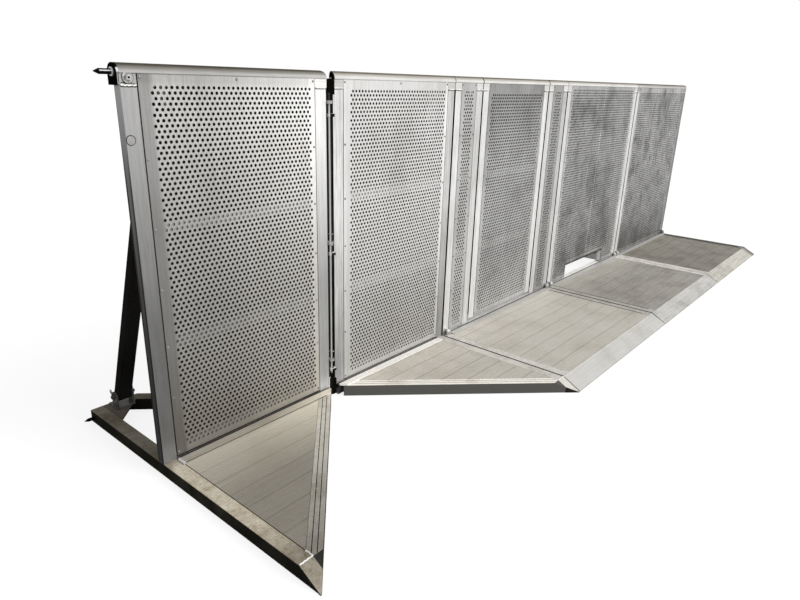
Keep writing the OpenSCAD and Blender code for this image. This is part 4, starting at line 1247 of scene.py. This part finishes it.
@dataclass
class PerforatedSheet:
    """A riveted sheet with staggered rows of punched holes."""

    name: str
    node: str
    body: str
    finish: MetalFinish
    span: tuple[float, float]
    height: tuple[float, float]
    front: float
    thickness: float
    notch: Optional[tuple[float, float, float]] = None
    slim: bool = False
    margins: tuple[float, float] = (20.0 * MM, 15.0 * MM)
    band_rows: int = 4
    pitch: float = 16.1 * MM
    spacing: float = 13.9 * MM
    hole: float = 4.9 * MM
    top_margin: float = 38.4 * MM
    foot_margin: float = 24.0 * MM

    def build(self, tools: Toolbox) -> bpy.types.Object:
        """Punches the sheet.

        Args:
            tools: The shared recipes.

        Returns:
            The finished object.
        """
        (x0, x1), (z0, z1) = self.span, self.height
        left, right = (0.24 * (x1 - x0),) * 2 if self.slim else self.margins
        room = x1 - x0 - left - right
        columns = int(room / self.pitch + 0.5)
        first = x0 + left + 0.5 * (room - (columns - 0.5) * self.pitch)
        rows = int((z1 - z0 - self.top_margin - self.foot_margin) / self.spacing) + 1
        lowest = z1 - self.top_margin - (rows - 1) * self.spacing
        cuts = [lowest + (k - 0.5) * self.spacing for k in range(self.band_rows, rows, self.band_rows)]
        rims = [
            [(x0, low, 0.0), (x1, low, 0.0), (x1, high, 0.0), (x0, high, 0.0)]
            for low, high in zip([z0, *cuts], [*cuts, z1])
        ]
        low, high = (9.0, 9.0, 0.0), (9.0, -9.0, 0.0)
        if self.notch:
            n0, n1, top = self.notch
            rims[0][1:1] = [(n0, z0, 0.0), (n0, top, 0.0), (n1, top, 0.0), (n1, z0, 0.0)]
            low = (n0 - 0.5 * self.pitch, z0, 0.0)
            high = (n1 + 0.5 * self.pitch, top + 0.7 * self.pitch, 0.0)
        piece = tools.punch.cook(self.name, outline_mesh(rims, True), {
            "Columns": columns, "Rows": rows, "Rows in a Band": self.band_rows,
            "Pitch": self.pitch, "Row Spacing": self.spacing, "First Hole": (
                first, lowest, 0.0,
            ), "Hole Radius": self.hole,
            "Thickness": self.thickness, "Notch Low": low, "Notch High": high,
            "Plate Finish": self.finish.material(), "Hole Finish": HOLE_WALL_SHADE.material(),
        })
        piece.data.transform(
            Matrix.Translation((0.0, self.front, 0.0)) @ Matrix.Rotation(math.pi / 2.0, 4, "X"),
        )
        log.info("%s has %d columns and %d rows", self.name, columns, rows)
        return keep(piece, self.body, (self.node,))

    def rivet_places(self) -> list[Point]:
        """Returns the centres of the rivets round the sheet."""
        (x0, x1), (z0, z1) = self.span, self.height
        edge = 6.5 * MM
        sides = (z0 + 12.0 * MM, 0.253, 0.420, 0.595, 0.770, 0.960, z1 - 9.5 * MM)
        places = [(x, self.front, z) for x in (x0 + edge, x1 - edge) for z in sides]
        if not self.slim:
            places.append((0.5 * (x0 + x1), self.front, z1 - 9.5 * MM))
        if self.notch:
            places = [
                p for p in places if not (self.notch[0] < p[0] < self.notch[1] and p[2] < self.notch[2])
            ]
        return places


@dataclass
class SheetWork:
    """All the sheets of the row with their rivets."""

    tools: Toolbox
    sheets: list[PerforatedSheet] = field(default_factory=list)

    def lay_out(self) -> None:
        """Reads the place of every sheet from the frame."""
        finishes = Palette().sheets()
        plan = (
            ("a_sheet", "corner_a"), ("b_sheet", "base"), ("gate_sheet", "gate"), ("d_sheet", "panel_d"),
            ("e_sheet", "panel_e"),
        )
        corner_margins = (36.0 * MM, 20.0 * MM)
        for node, body in plan:
            low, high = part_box(node)
            notch = None
            if node == "d_sheet":
                middle, top = 0.5 * (low.x + high.x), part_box("base_side_tubes")[1].z + 0.096
                notch = (middle - 0.270, middle + 0.270, top)
            sheet = PerforatedSheet(
                node.replace("_sheet", "_punched_sheet"), node, body, finishes[node], (low.x, high.x),
                (low.z, high.z), low.y, high.y - low.y, notch,
            )
            if body in ("corner_a", "base"):
                sheet.margins = corner_margins
            if body == "corner_a":
                sheet.top_margin, sheet.spacing = 33.4 * MM, 13.96 * MM
            if body == "gate":
                sheet.top_margin = 50.0 * MM
            if body == "panel_d":
                sheet.top_margin = 24.5 * MM
            self.sheets.append(sheet)
        low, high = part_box("c_side_sheets")
        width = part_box("c_frame")
        strip = low.x - width[0].x
        across = SIDE_PANEL_WIDTH - 2.0 * strip
        for side, start in (("left", low.x), ("right", high.x - across)):
            self.sheets.append(PerforatedSheet(
                f"c_punched_strip_{side}", "c_side_sheets", "panel_c", finishes["c_side_sheets"],
                (start, start + across),
                (low.z, high.z), low.y, high.y - low.y, slim=True,
            ))

    def build(self) -> None:
        """Punches and rivets every sheet."""
        self.lay_out()
        by_body: dict[str, list[Point]] = {}
        for sheet in self.sheets:
            sheet.build(self.tools)
            by_body.setdefault(sheet.body, []).extend(sheet.rivet_places())
        for body, places in by_body.items():
            keep(self.tools.rivets(f"rivets_{body}", places, (0.0, -1.0, 0.0)), body)
        self._seams()

    def _seams(self) -> None:
        """Draws dirt and painted shade in the seams along bay A's sheet and under bay B's sheet."""
        low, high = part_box("a_sheet")
        runs = [
            [(low.x - 1.0 * MM, low.y + 0.4 * MM, low.z), (low.x - 1.0 * MM, low.y + 0.4 * MM, high.z)],
            [(low.x, low.y, low.z - 0.6 * MM), (high.x, low.y, low.z - 0.6 * MM)],
        ]
        keep(self.tools.wire("a_sheet_seams", runs, 1.9 * MM, DIRT_AND_SHADE), "corner_a")
        low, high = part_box("b_sheet")
        runs = [[(low.x, low.y, low.z - 0.6 * MM), (high.x, low.y, low.z - 0.6 * MM)]]
        keep(self.tools.wire("b_sheet_seam", runs, 1.5 * MM, DIRT_AND_SHADE), "base")


@dataclass
class Posts:
    """The posts of the row, with the welds at their heads."""

    tools: Toolbox
    width: float = 46.0 * MM
    hinge_width: float = 50.0 * MM
    depth: float = 30.0 * MM

    def spans(self) -> dict[str, list[tuple[float, float]]]:
        """Returns the left and right edge of each post, by body."""
        w, h = self.width, self.hinge_width
        a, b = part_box("a_frame"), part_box("b_frame")
        c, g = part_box("c_frame"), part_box("gate_frame")
        found = {
            "corner_a": [(a[0].x, a[0].x + w), (a[1].x - h, a[1].x)],
            "base": [(b[0].x, b[0].x + h), (b[1].x - w, b[1].x)],
            "gate": [(g[0].x, g[0].x + w), (g[1].x - w, g[1].x)],
        }
        inner = SIDE_PANEL_WIDTH
        found["panel_c"] = [
            (c[0].x, c[0].x + w), (c[0].x + inner - w, c[0].x + inner),
            (c[1].x - inner, c[1].x - inner + w), (c[1].x - w, c[1].x),
        ]
        for body, node in (("panel_d", "d_frame"), ("panel_e", "e_frame")):
            low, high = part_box(node)
            found[body] = [(low.x, low.x + w), (high.x - w, high.x)]
        return found

    def build(self) -> None:
        """Welds every post to its rail."""
        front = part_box("a_sheet")[0].y
        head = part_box("a_frame")[1].z
        for body, spans in self.spans().items():
            runs = []
            for left, right in spans:
                runs.append(
                    [(left + 2.0 * MM, front - 0.3 * MM, head), (right - 2.0 * MM, front - 0.3 * MM, head)],
                )
                runs.append([
                    (left + 2.0 * MM, front + self.depth, head),
                    (right - 2.0 * MM, front + self.depth, head),
                ])
            keep(self.tools.weld(f"post_welds_{body}", runs), body)
            # Painted shade: a dark line just under each front weld.
            drop = 2.6 * MM
            seams = [hand_laid(
                [(x, y + 1.0 * MM, z - drop) for x, y, z in run],
            ) for run in runs if run[0][1] < front]
            keep(self.tools.wire(f"post_weld_shadows_{body}", seams, 1.8 * MM, DIRT_AND_SHADE), body)


@dataclass
class RowEnd:
    """The fittings of the swinging end: pivot bolt, plug, end plate edges and pin collars."""

    tools: Toolbox
    bolt_from_edge: float = 22.0 * MM
    bolt_z: float = 1.1655
    plug_z: float = 1.0125

    def build(self) -> None:
        """Makes the fittings of bay A's free end."""
        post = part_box("a_frame")[0]
        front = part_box("a_sheet")[0].y
        x = post.x + self.bolt_from_edge
        out = (0.0, -1.0, 0.0)
        bolt = [
            turned([
                (-1.0 * MM, 14.5 * MM), (1.6 * MM, 14.5 * MM), (2.4 * MM, 13.4 * MM), (2.6 * MM, 9.8 * MM),
            ], (x, front, self.bolt_z), out, 32),
            turned([(1.0 * MM, 9.4 * MM), (5.4 * MM, 9.4 * MM), (7.6 * MM, 7.4 * MM), (8.2 * MM, 3.4 * MM)],
                   (x, front, self.bolt_z), out, 6),
        ]
        keep(solid("a_pivot_bolt", bolt, BOLT), "corner_a")
        ring = [
            (x + 14.8 * MM * math.cos(a), front - 0.5 * MM, self.bolt_z + 14.8 * MM * math.sin(a))
            for a in (math.pi * k / 12.0 for k in range(25))
        ]
        scar = [
            (x - 18.0 * MM, front - 0.4 * MM, self.bolt_z - 13.0 * MM),
            (x + 17.0 * MM, front - 0.4 * MM, self.bolt_z - 15.0 * MM),
        ]
        plug_x = post.x + 12.9 * MM
        rim = [
            (plug_x + 12.4 * MM * math.cos(a), front - 0.5 * MM, self.plug_z + 12.4 * MM * math.sin(a))
            for a in (math.pi * k / 12.0 for k in range(25))
        ]
        # Dark rings round the bolt head and the plug as painted shade, and a dark scar under the bolt.
        rings = [ring, hand_laid(scar, 2.4 * MM, 17.0 * MM), rim]
        keep(self.tools.wire("a_bolt_and_plug_rings", rings, 1.0 * MM, DIRT_AND_SHADE), "corner_a")
        eye = [turned([(6.0 * MM, 3.2 * MM), (8.6 * MM, 3.0 * MM)], (x, front, self.bolt_z), out, 12)]
        keep(solid("a_pivot_bolt_eye", eye, BLACK), "corner_a")
        plug = [
            turned([
                (-1.0 * MM, 12.5 * MM), (0.5 * MM, 12.5 * MM), (1.0 * MM, 11.9 * MM), (0.7 * MM, 10.8 * MM),
                (0.9 * MM, 9.0 * MM), (1.5 * MM, 4.0 * MM),
            ], (plug_x, front, self.plug_z), out, 32),
        ]
        keep(solid("a_post_plug", plug, PLUG), "corner_a")
        self._end_plate()
        self._collars()

    def _end_plate(self) -> None:
        """Draws the bright edges of the black end plate, as painted highlights."""
        rail, radius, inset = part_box("a_top_rail"), CROWN_RADIUS, 1.2 * MM
        x, front, spring = rail[0].x - 3.0 * MM, rail[0].y, rail[1].z - radius
        reach = radius - inset
        arc = [
            (x, front + radius - reach * math.cos(turn), spring + reach * math.sin(turn))
            for turn in (math.pi * k / 14.0 for k in range(9))
        ]
        edge = [(x, front + 3.0 * MM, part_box("a_frame")[1].z + 2.0 * MM), (x, front + 3.0 * MM, spring)]
        keep(self.tools.wire(
            "a_end_plate_edges", [arc, edge], 1.1 * MM, FASTENER,
        ), "corner_a")

    def _collars(self) -> None:
        """Puts a bright collar on the root of each pin."""
        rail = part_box("a_top_rail")
        y = rail[0].y + CROWN_RADIUS
        z = rail[1].z - 22.0 * MM
        root = rail[0].x - 6.0 * MM
        collar = [turned([
            (-0.5 * MM, 11.0 * MM), (3.0 * MM, 11.0 * MM), (4.0 * MM, 9.6 * MM), (4.0 * MM, 7.2 * MM),
        ],
                         (root, y, z), (-1.0, 0.0, 0.0), 24)]
        keep(solid("a_pin_collar", collar, FASTENER), "corner_a")


@dataclass
class BraceFittings:
    """Cross-pin heads, washers and spring clips at the foot of each brace, and the welds of its bracket."""

    tools: Toolbox
    pin_y: float = 0.438
    pin_z: float = 0.090
    half: float = 26.0 * MM
    lug: float = 6.0 * MM

    def build(self) -> None:
        """Makes the fittings of all eight braces."""
        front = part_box("a_sheet")[0].y
        pieces = {"corner_a": ["a_brace"], "base": [
            "b_brace", "c_brace_left", "c_brace_right", "d_brace_left", "d_brace_right", "e_brace_left",
            "e_brace_right",
        ]}
        for body, nodes in pieces.items():
            steps, clips, welds = [], [], []
            for node in nodes:
                low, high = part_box(node)
                x, y, z = 0.5 * (low.x + high.x), front + self.pin_y, self.pin_z
                reach = self.half + self.lug
                for side in (-1.0, 1.0):
                    face = (x + side * reach, y, z)
                    out = (side, 0.0, 0.0)
                    steps.append(turned(
                        [(-0.3 * MM, 10.5 * MM), (1.8 * MM, 10.5 * MM), (2.0 * MM, 6.4 * MM)], face, out,
                    ))
                    steps.append(turned(
                        [(1.0 * MM, 6.3 * MM), (9.5 * MM, 6.3 * MM), (10.5 * MM, 5.2 * MM)], face, out,
                    ))
                    clips.append(self._clip(x + side * (reach + 5.5 * MM), y, z))
                    foot = 48.4 * MM
                    welds.append(
                        [(x + side * reach, y - 17.0 * MM, foot), (x + side * reach, y + 17.0 * MM, foot)],
                    )
            keep(solid(f"brace_pins_{body}", steps, BRACKET), body)
            keep(self.tools.wire(f"brace_clips_{body}", clips, 1.5 * MM, BRACKET), body)
            keep(self.tools.wire(f"bracket_welds_{body}", welds, 2.4 * MM, BRACKET), body)

    @staticmethod
    def _clip(x: float, y: float, z: float) -> list[Point]:
        """Bends a spring clip through the end of a pin.

        Args:
            x: Place of the clip along the pin.
            y: Middle of the pin.
            z: Height of the pin.

        Returns:
            The path of the wire.
        """
        path = [(x, y, z - 13.0 * MM), (x, y, z + 11.0 * MM)]
        for k in range(15):
            angle = -0.5 * math.pi + 1.7 * math.pi * k / 14.0
            path.append(
                (x, y + 7.0 * MM + 7.0 * MM * math.sin(angle), z + 20.0 * MM - 7.0 * MM * math.cos(angle)),
            )
        path.append((x, y + 3.0 * MM, z + 10.0 * MM))
        path.append((x, y + 8.2 * MM, z))
        path.append((x, y + 5.0 * MM, z - 8.0 * MM))
        return path


@dataclass
class Base:
    """Welds and bright edges along the base tubes, strips and ramps."""

    tools: Toolbox

    def build(self) -> None:
        """Lays the welds of the base."""
        self._bay_a()
        self._bay_b()
        self._full_bays()
        self._boundaries()
        self._joint_dirt()

    def _bay_a(self) -> None:
        """Welds of the swinging bay's base."""
        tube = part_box("a_side_tube")
        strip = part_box("a_foot_strip")
        top = tube[1].z
        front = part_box("a_sheet")[0].y
        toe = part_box("c_footplate")[0].y + RAMP_DEPTH
        right = tube[1].x
        runs = [
            [(tube[0].x + 1.0 * MM, toe, top + 0.4 * MM), (right - 1.0 * MM, toe, top + 0.4 * MM)],
            [(right, toe, top + 0.3 * MM), (right, toe + 26.0 * MM, top + 0.3 * MM)],
        ]
        keep(self.tools.weld("base_welds_corner_a", runs, 2.4 * MM), "corner_a")
        toe_weld = [[
            (right + 1.0 * MM, strip[0].y - 2.0 * MM, top + 1.5 * MM),
            (right + 1.0 * MM, front - 12.0 * MM, top + 1.5 * MM),
        ]]
        keep(self.tools.weld("strip_weld_corner_a", toe_weld, 5.0 * MM), "corner_a")
        # Painted shade in the gaps along the side tube's inner edge and the strip's front edge.
        gap_lines = [
            [
                (right - 3.0 * MM, front - 8.0 * MM, top + 0.5 * MM),
                (right - 4.0 * MM, strip[0].y - 6.0 * MM, top + 0.5 * MM),
            ],
            [(right + 0.3 * MM, strip[0].y - 8.0 * MM, top), (right + 0.3 * MM, toe + 30.0 * MM, top)],
            [
                (right + 4.0 * MM, strip[0].y - 0.6 * MM, top + 0.8 * MM),
                (strip[1].x - 46.0 * MM, strip[0].y - 0.6 * MM, top + 0.8 * MM),
            ],
        ]
        keep(self.tools.wire("base_gap_shade_corner_a", gap_lines, 1.0 * MM, DIRT_AND_SHADE), "corner_a")

    def _bay_b(self) -> None:
        """Welds of the fixed corner bay's base."""
        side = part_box("b_frame")[1].x
        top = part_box("a_side_tube")[1].z
        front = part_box("a_sheet")[0].y
        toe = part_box("c_footplate")[0].y + RAMP_DEPTH
        left = side - BASE_TUBE_WIDTH
        runs = [
            [(left + 1.0 * MM, toe, top + 0.4 * MM), (side - 1.0 * MM, toe, top + 0.4 * MM)],
            [(left, toe, top + 0.3 * MM), (left, toe + 26.0 * MM, top + 0.3 * MM)],
            [
                (left - 1.0 * MM, front - 38.0 * MM, top + 2.0 * MM),
                (left - 1.0 * MM, front - 6.0 * MM, top + 2.0 * MM),
            ],
        ]
        keep(self.tools.weld("base_welds_corner_b", runs, 2.6 * MM), "base")

    def _full_bays(self) -> None:
        """Welds of the three full bays' bases."""
        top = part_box("a_side_tube")[1].z
        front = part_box("a_sheet")[0].y
        runs = []
        for node in ("c_footplate", "d_footplate", "e_footplate"):
            low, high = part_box(node)
            for x in (low.x + BASE_TUBE_WIDTH, high.x - BASE_TUBE_WIDTH):
                runs.append(
                    [(x, low.y + 80.0 * MM, top - 0.6 * MM), (x, low.y + 112.0 * MM, top - 0.6 * MM)],
                )
                runs.append([(x, front - 38.0 * MM, top + 2.0 * MM), (x, front - 6.0 * MM, top + 2.0 * MM)])
        keep(self.tools.weld("base_welds_bays", runs, 2.2 * MM), "base")

    def _boundaries(self) -> None:
        """Draws painted shade in the gaps and junctions, and painted highlights along some edges, at the
        borders of the bays' bases.
        """
        tube, top = BASE_TUBE_WIDTH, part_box("a_side_tube")[1].z
        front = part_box("a_sheet")[0].y - 12.0 * MM
        c, d, e = (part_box(f"{bay}_footplate") for bay in "cde")
        b_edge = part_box("b_frame")[1].x
        fold, toe = c[0].y + RAMP_DEPTH, c[0].y + 2.0 * MM

        def along(x: float, ramp: bool = False) -> list[Point]:
            """A path on the base from the panels to the fold, or on to the toe."""
            path = [(x, front, top - 0.4 * MM), (x, fold, top - 0.4 * MM)]
            return path + [(x, toe, 1.6 * MM)] if ramp else path

        # Painted shade in the gaps between the bays and where the side tubes meet the treads.
        dark = [
            along(b_edge + 0.5 * MM), along(c[0].x - 0.5 * MM), along(c[1].x - tube), along(d[0].x + tube),
            along(c[1].x + 0.3 * MM, True), along(d[0].x - 0.3 * MM, True), along(e[1].x - tube),
        ]
        keep(self.tools.wire("base_border_shade", dark, 1.6 * MM, DIRT_AND_SHADE), "base")
        # Painted highlights along the inner edges of D and E and the outer edge of E.
        edge_highlights = [along(d[1].x - tube), along(e[0].x + tube), along(e[1].x - 2.4 * MM, True)]
        keep(self.tools.wire("base_border_highlights", edge_highlights, 1.5 * MM, WELD), "base")

    def _joint_dirt(self) -> None:
        """Packs the joints between the planks with dirt, just below the treads."""
        plank, tube, joint, depth = Palette.plank, BASE_TUBE_WIDTH, 1.4 * MM, 1.2 * MM
        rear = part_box("a_foot_tube")[0].y
        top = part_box("a_side_tube")[1].z - 1.3 * MM
        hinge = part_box("b_frame")[0].x - 14.5 * MM
        band = 72.0 * MM
        for node, body in (
            ("a_footplate", "corner_a"), ("b_footplate", "base"), ("c_footplate", "base"),
            ("d_footplate", "base"), ("e_footplate", "base"),
        ):
            low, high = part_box(node)
            offset = 0.5 if node[0] in "ab" else 0.0
            steps = []
            for number in range(1, 9 if offset else 8):
                y = rear - (number - offset) * plank
                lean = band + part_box("a_sheet")[0].y - y
                x0, x1 = {
                    "a": (low.x + 1.0 * MM, hinge - lean), "b": (hinge + lean, high.x - 1.0 * MM),
                }.get(node[0], (low.x + tube + 1.0 * MM, high.x - tube - 1.0 * MM))
                if x1 - x0 < 5.0 * MM:
                    continue
                corners = [
                    (x0, y - 0.5 * joint, top), (x1, y - 0.5 * joint, top),
                    (x1, y + 0.5 * joint, top), (x0, y + 0.5 * joint, top),
                ]
                steps.append(plate(corners, (0.0, 0.0, -depth)))
            keep(solid(f"joint_dirt_{node[0]}", steps, Palette().soil(node)), body)


@dataclass
class CornerHinge:
    """The black closing plate on the rail beside the hinge, and the rod's retaining clips."""

    tools: Toolbox
    mitre: float = math.radians(30.0)

    def build(self) -> None:
        """Makes the plate and the retaining rings."""
        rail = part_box("b_top_rail")
        low_z, high_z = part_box("b_frame")[1].z, rail[1].z
        middle, radius = rail[0].y + CROWN_RADIUS, CROWN_RADIUS
        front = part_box("b_sheet")[0].y
        x0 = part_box("b_frame")[0].x + 0.2 * MM
        outline = [(rail[0].y, high_z - radius)]
        outline += [
            (middle - radius * math.cos(a), high_z - radius + radius * math.sin(a))
            for a in (math.pi * k / 16.0 for k in range(1, 16))
        ]
        outline += [
            (middle + radius, high_z - radius), (front + 30.0 * MM, high_z - radius),
            (front + 30.0 * MM, low_z), (front, low_z), (front, high_z - radius),
        ]
        points = [(x0 + max(0.0, y - front) * math.tan(self.mitre), y, z) for y, z in outline]
        cover = solid("b_rail_end_cover", [plate(points, (1.2 * MM, 0.0, 0.0))], BLACK)
        keep(cover, "base")
        x, y = x0 - 14.7 * MM, front
        rings = [
            turned([
                (0.0, 6.2 * MM), (0.0, 8.6 * MM), (1.6 * MM, 8.6 * MM), (1.6 * MM, 6.2 * MM),
            ], (x, y, z), (0.0, 0.0, 1.0))
            for z in (0.155, 0.195, 0.612, 0.652)
        ]
        keep(solid("hinge_rod_rings", rings, FASTENER), "base")


# ---- studio ----


@dataclass
class Studio:
    """Floor, sun, world, camera, and dark cards behind the perforations, as painted shade in the holes."""

    eye: Point = (-2.9973, -1.4740, 1.1768)
    right: Point = (0.647383, -0.761665, 0.027607)
    down: Point = (-0.237659, -0.236151, -0.942205)
    ahead: Point = (0.724164, 0.603407, -0.333897)
    lens: float = 27.895
    sky: float = 0.42
    sun: float = 2.5
    sunward: Point = (0.30, -0.80, 0.62)
    softness: float = math.radians(40.0)
    behind: float = 46.0 * MM

    def build(self) -> None:
        """Sets up the whole studio."""
        self._floor()
        self._world()
        self._sun()
        self._camera()
        self._hole_shade_cards()
        bpy.context.scene.view_settings.view_transform = "Standard"

    @staticmethod
    def _seen(bench: Bench) -> bpy.types.NodeSocket:
        """Returns 1 where the eye, a reflection or clear glass looks, and 0 for the light on the object."""
        path = bench.put("ShaderNodeLightPath")
        through = bench.math("MAXIMUM", path.outputs["Is Glossy Ray"], path.outputs["Is Transmission Ray"])
        return bench.math("MAXIMUM", path.outputs["Is Camera Ray"], through)

    def _floor(self) -> None:
        """Lays a white floor that keeps the object's soft shadow."""
        mesh = bpy.data.meshes.new("studio_floor")
        half, level = 60.0, -0.8 * MM
        mesh.from_pydata([
            (-half, -half, level), (half, -half, level), (half, half, level), (-half, half, level),
        ],
                         [], [(0, 1, 2, 3)])
        floor = bpy.data.objects.new("studio_floor", mesh)
        bpy.context.scene.collection.objects.link(floor)
        paint = bpy.data.materials.new("studio_floor")
        paint.use_nodes = True
        bench = Bench(paint.node_tree)
        plain = bench.put("ShaderNodeBsdfDiffuse", {"Color": (0.34, 0.34, 0.34, 1.0)})
        lit = bench.put("ShaderNodeBsdfDiffuse", {"Color": (0.26, 0.26, 0.26, 1.0)})
        glow = bench.put("ShaderNodeEmission", {"Color": (1.0, 1.0, 1.0, 1.0), "Strength": 0.82})
        pale = bench.put("ShaderNodeAddShader", {0: lit.outputs[0], 1: glow.outputs[0]})
        both = bench.put(
            "ShaderNodeMixShader", {0: self._seen(bench), 1: plain.outputs[0], 2: pale.outputs[0]},
        )
        bench.put("ShaderNodeOutputMaterial", {"Surface": both.outputs[0]})
        mesh.materials.append(paint)

    def _world(self) -> None:
        """White behind the object, and a plain sky for its light."""
        world = bpy.data.worlds.new("studio_world")
        bpy.context.scene.world = world
        world.use_nodes = True
        bench = Bench(world.node_tree)
        sky = bench.put("ShaderNodeBackground", {"Color": (1.0, 1.0, 1.0, 1.0), "Strength": self.sky})
        white = bench.put("ShaderNodeBackground", {"Color": (1.0, 1.0, 1.0, 1.0), "Strength": 1.0})
        both = bench.put(
            "ShaderNodeMixShader", {0: self._seen(bench), 1: sky.outputs[0], 2: white.outputs[0]},
        )
        bench.put("ShaderNodeOutputWorld", {"Surface": both.outputs[0]})

    def _sun(self) -> None:
        """Hangs one wide soft light in front of the row."""
        light = bpy.data.lights.new("soft_sun", "SUN")
        light.energy, light.angle = self.sun, self.softness
        lamp = bpy.data.objects.new("soft_sun", light)
        lamp.rotation_euler = Vector(self.sunward).to_track_quat("Z", "Y").to_euler()
        bpy.context.scene.collection.objects.link(lamp)

    def _hole_shade_cards(self) -> None:
        """Hangs a dark card behind each perforated panel as painted shade for the holes, seen by the camera
        from the front only.
        """
        card_shade = bpy.data.materials.new("studio_hole_shade")
        card_shade.use_nodes = True
        bench = Bench(card_shade.node_tree)
        rear = bench.put("ShaderNodeNewGeometry").outputs["Backfacing"]
        clear = bench.put("ShaderNodeBsdfTransparent")
        dark = bench.put("ShaderNodeEmission", {"Color": (0.010, 0.010, 0.009, 1.0), "Strength": 1.0})
        both = bench.put("ShaderNodeMixShader", {0: rear, 1: dark.outputs[0], 2: clear.outputs[0]})
        bench.put("ShaderNodeOutputMaterial", {"Surface": both.outputs[0]})
        inset, rise = 8.0 * MM, {"a": 12.0, "b": 0.0, "d": -4.0}
        for node, body in (
            ("a_frame", "corner_a"), ("b_frame", "base"), ("c_frame", "panel_c"), ("gate_frame", "gate"),
            ("d_frame", "panel_d"), ("e_frame", "panel_e"),
        ):
            low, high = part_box(node)
            spans = [(low.x + inset, high.x - inset)]
            if node == "c_frame":
                side = SIDE_PANEL_WIDTH
                spans = [(low.x + inset, low.x + side - inset), (high.x - side + inset, high.x - inset)]
            y, floor = low.y + self.behind, low.z + 12.0 * MM
            top = high.z + rise.get(node[0], -10.0) * MM
            if node == "d_frame":
                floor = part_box("d_sheet")[0].z + 84.0 * MM
            mesh = bpy.data.meshes.new(f"studio_hole_shade_{body}")
            points = [
                p for x0, x1 in spans for p in ((x0, y, floor), (x1, y, floor), (x1, y, top), (x0, y, top))
            ]
            mesh.from_pydata(points, [], [tuple(range(4 * k, 4 * k + 4)) for k in range(len(spans))])
            mesh.materials.append(card_shade)
            card = bpy.data.objects.new(f"studio_hole_shade_{body}", mesh)
            bpy.context.scene.collection.objects.link(card)
            card.visible_diffuse = card.visible_glossy = False
            card.visible_transmission = card.visible_shadow = False
            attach(card, body)

    def _camera(self) -> None:
        """Stands the camera where the row is seen past its free end."""
        lens = bpy.data.cameras.new("camera")
        lens.sensor_width, lens.lens, lens.clip_start, lens.clip_end = 36.0, self.lens, 0.05, 200.0
        camera = bpy.data.objects.new("camera", lens)
        right, up, back = Vector(self.right), -Vector(self.down), -Vector(self.ahead)
        turn = Matrix((right, up, back)).transposed().to_4x4()
        camera.matrix_world = Matrix.Translation(self.eye) @ turn
        bpy.context.scene.collection.objects.link(camera)
        bpy.context.scene.camera = camera


def main() -> None:
    """Builds and dresses the barrier, piece by piece."""
    Studio().build()
    Palette().dress()
    tools = Toolbox()
    for assembly in (
        SheetWork(tools), Posts(tools), RowEnd(tools), BraceFittings(tools), Base(tools),
        CornerHinge(tools),
    ):
        log.info("building %s", type(assembly).__name__)
        assembly.build()


if __name__ == "__main__":
    main()
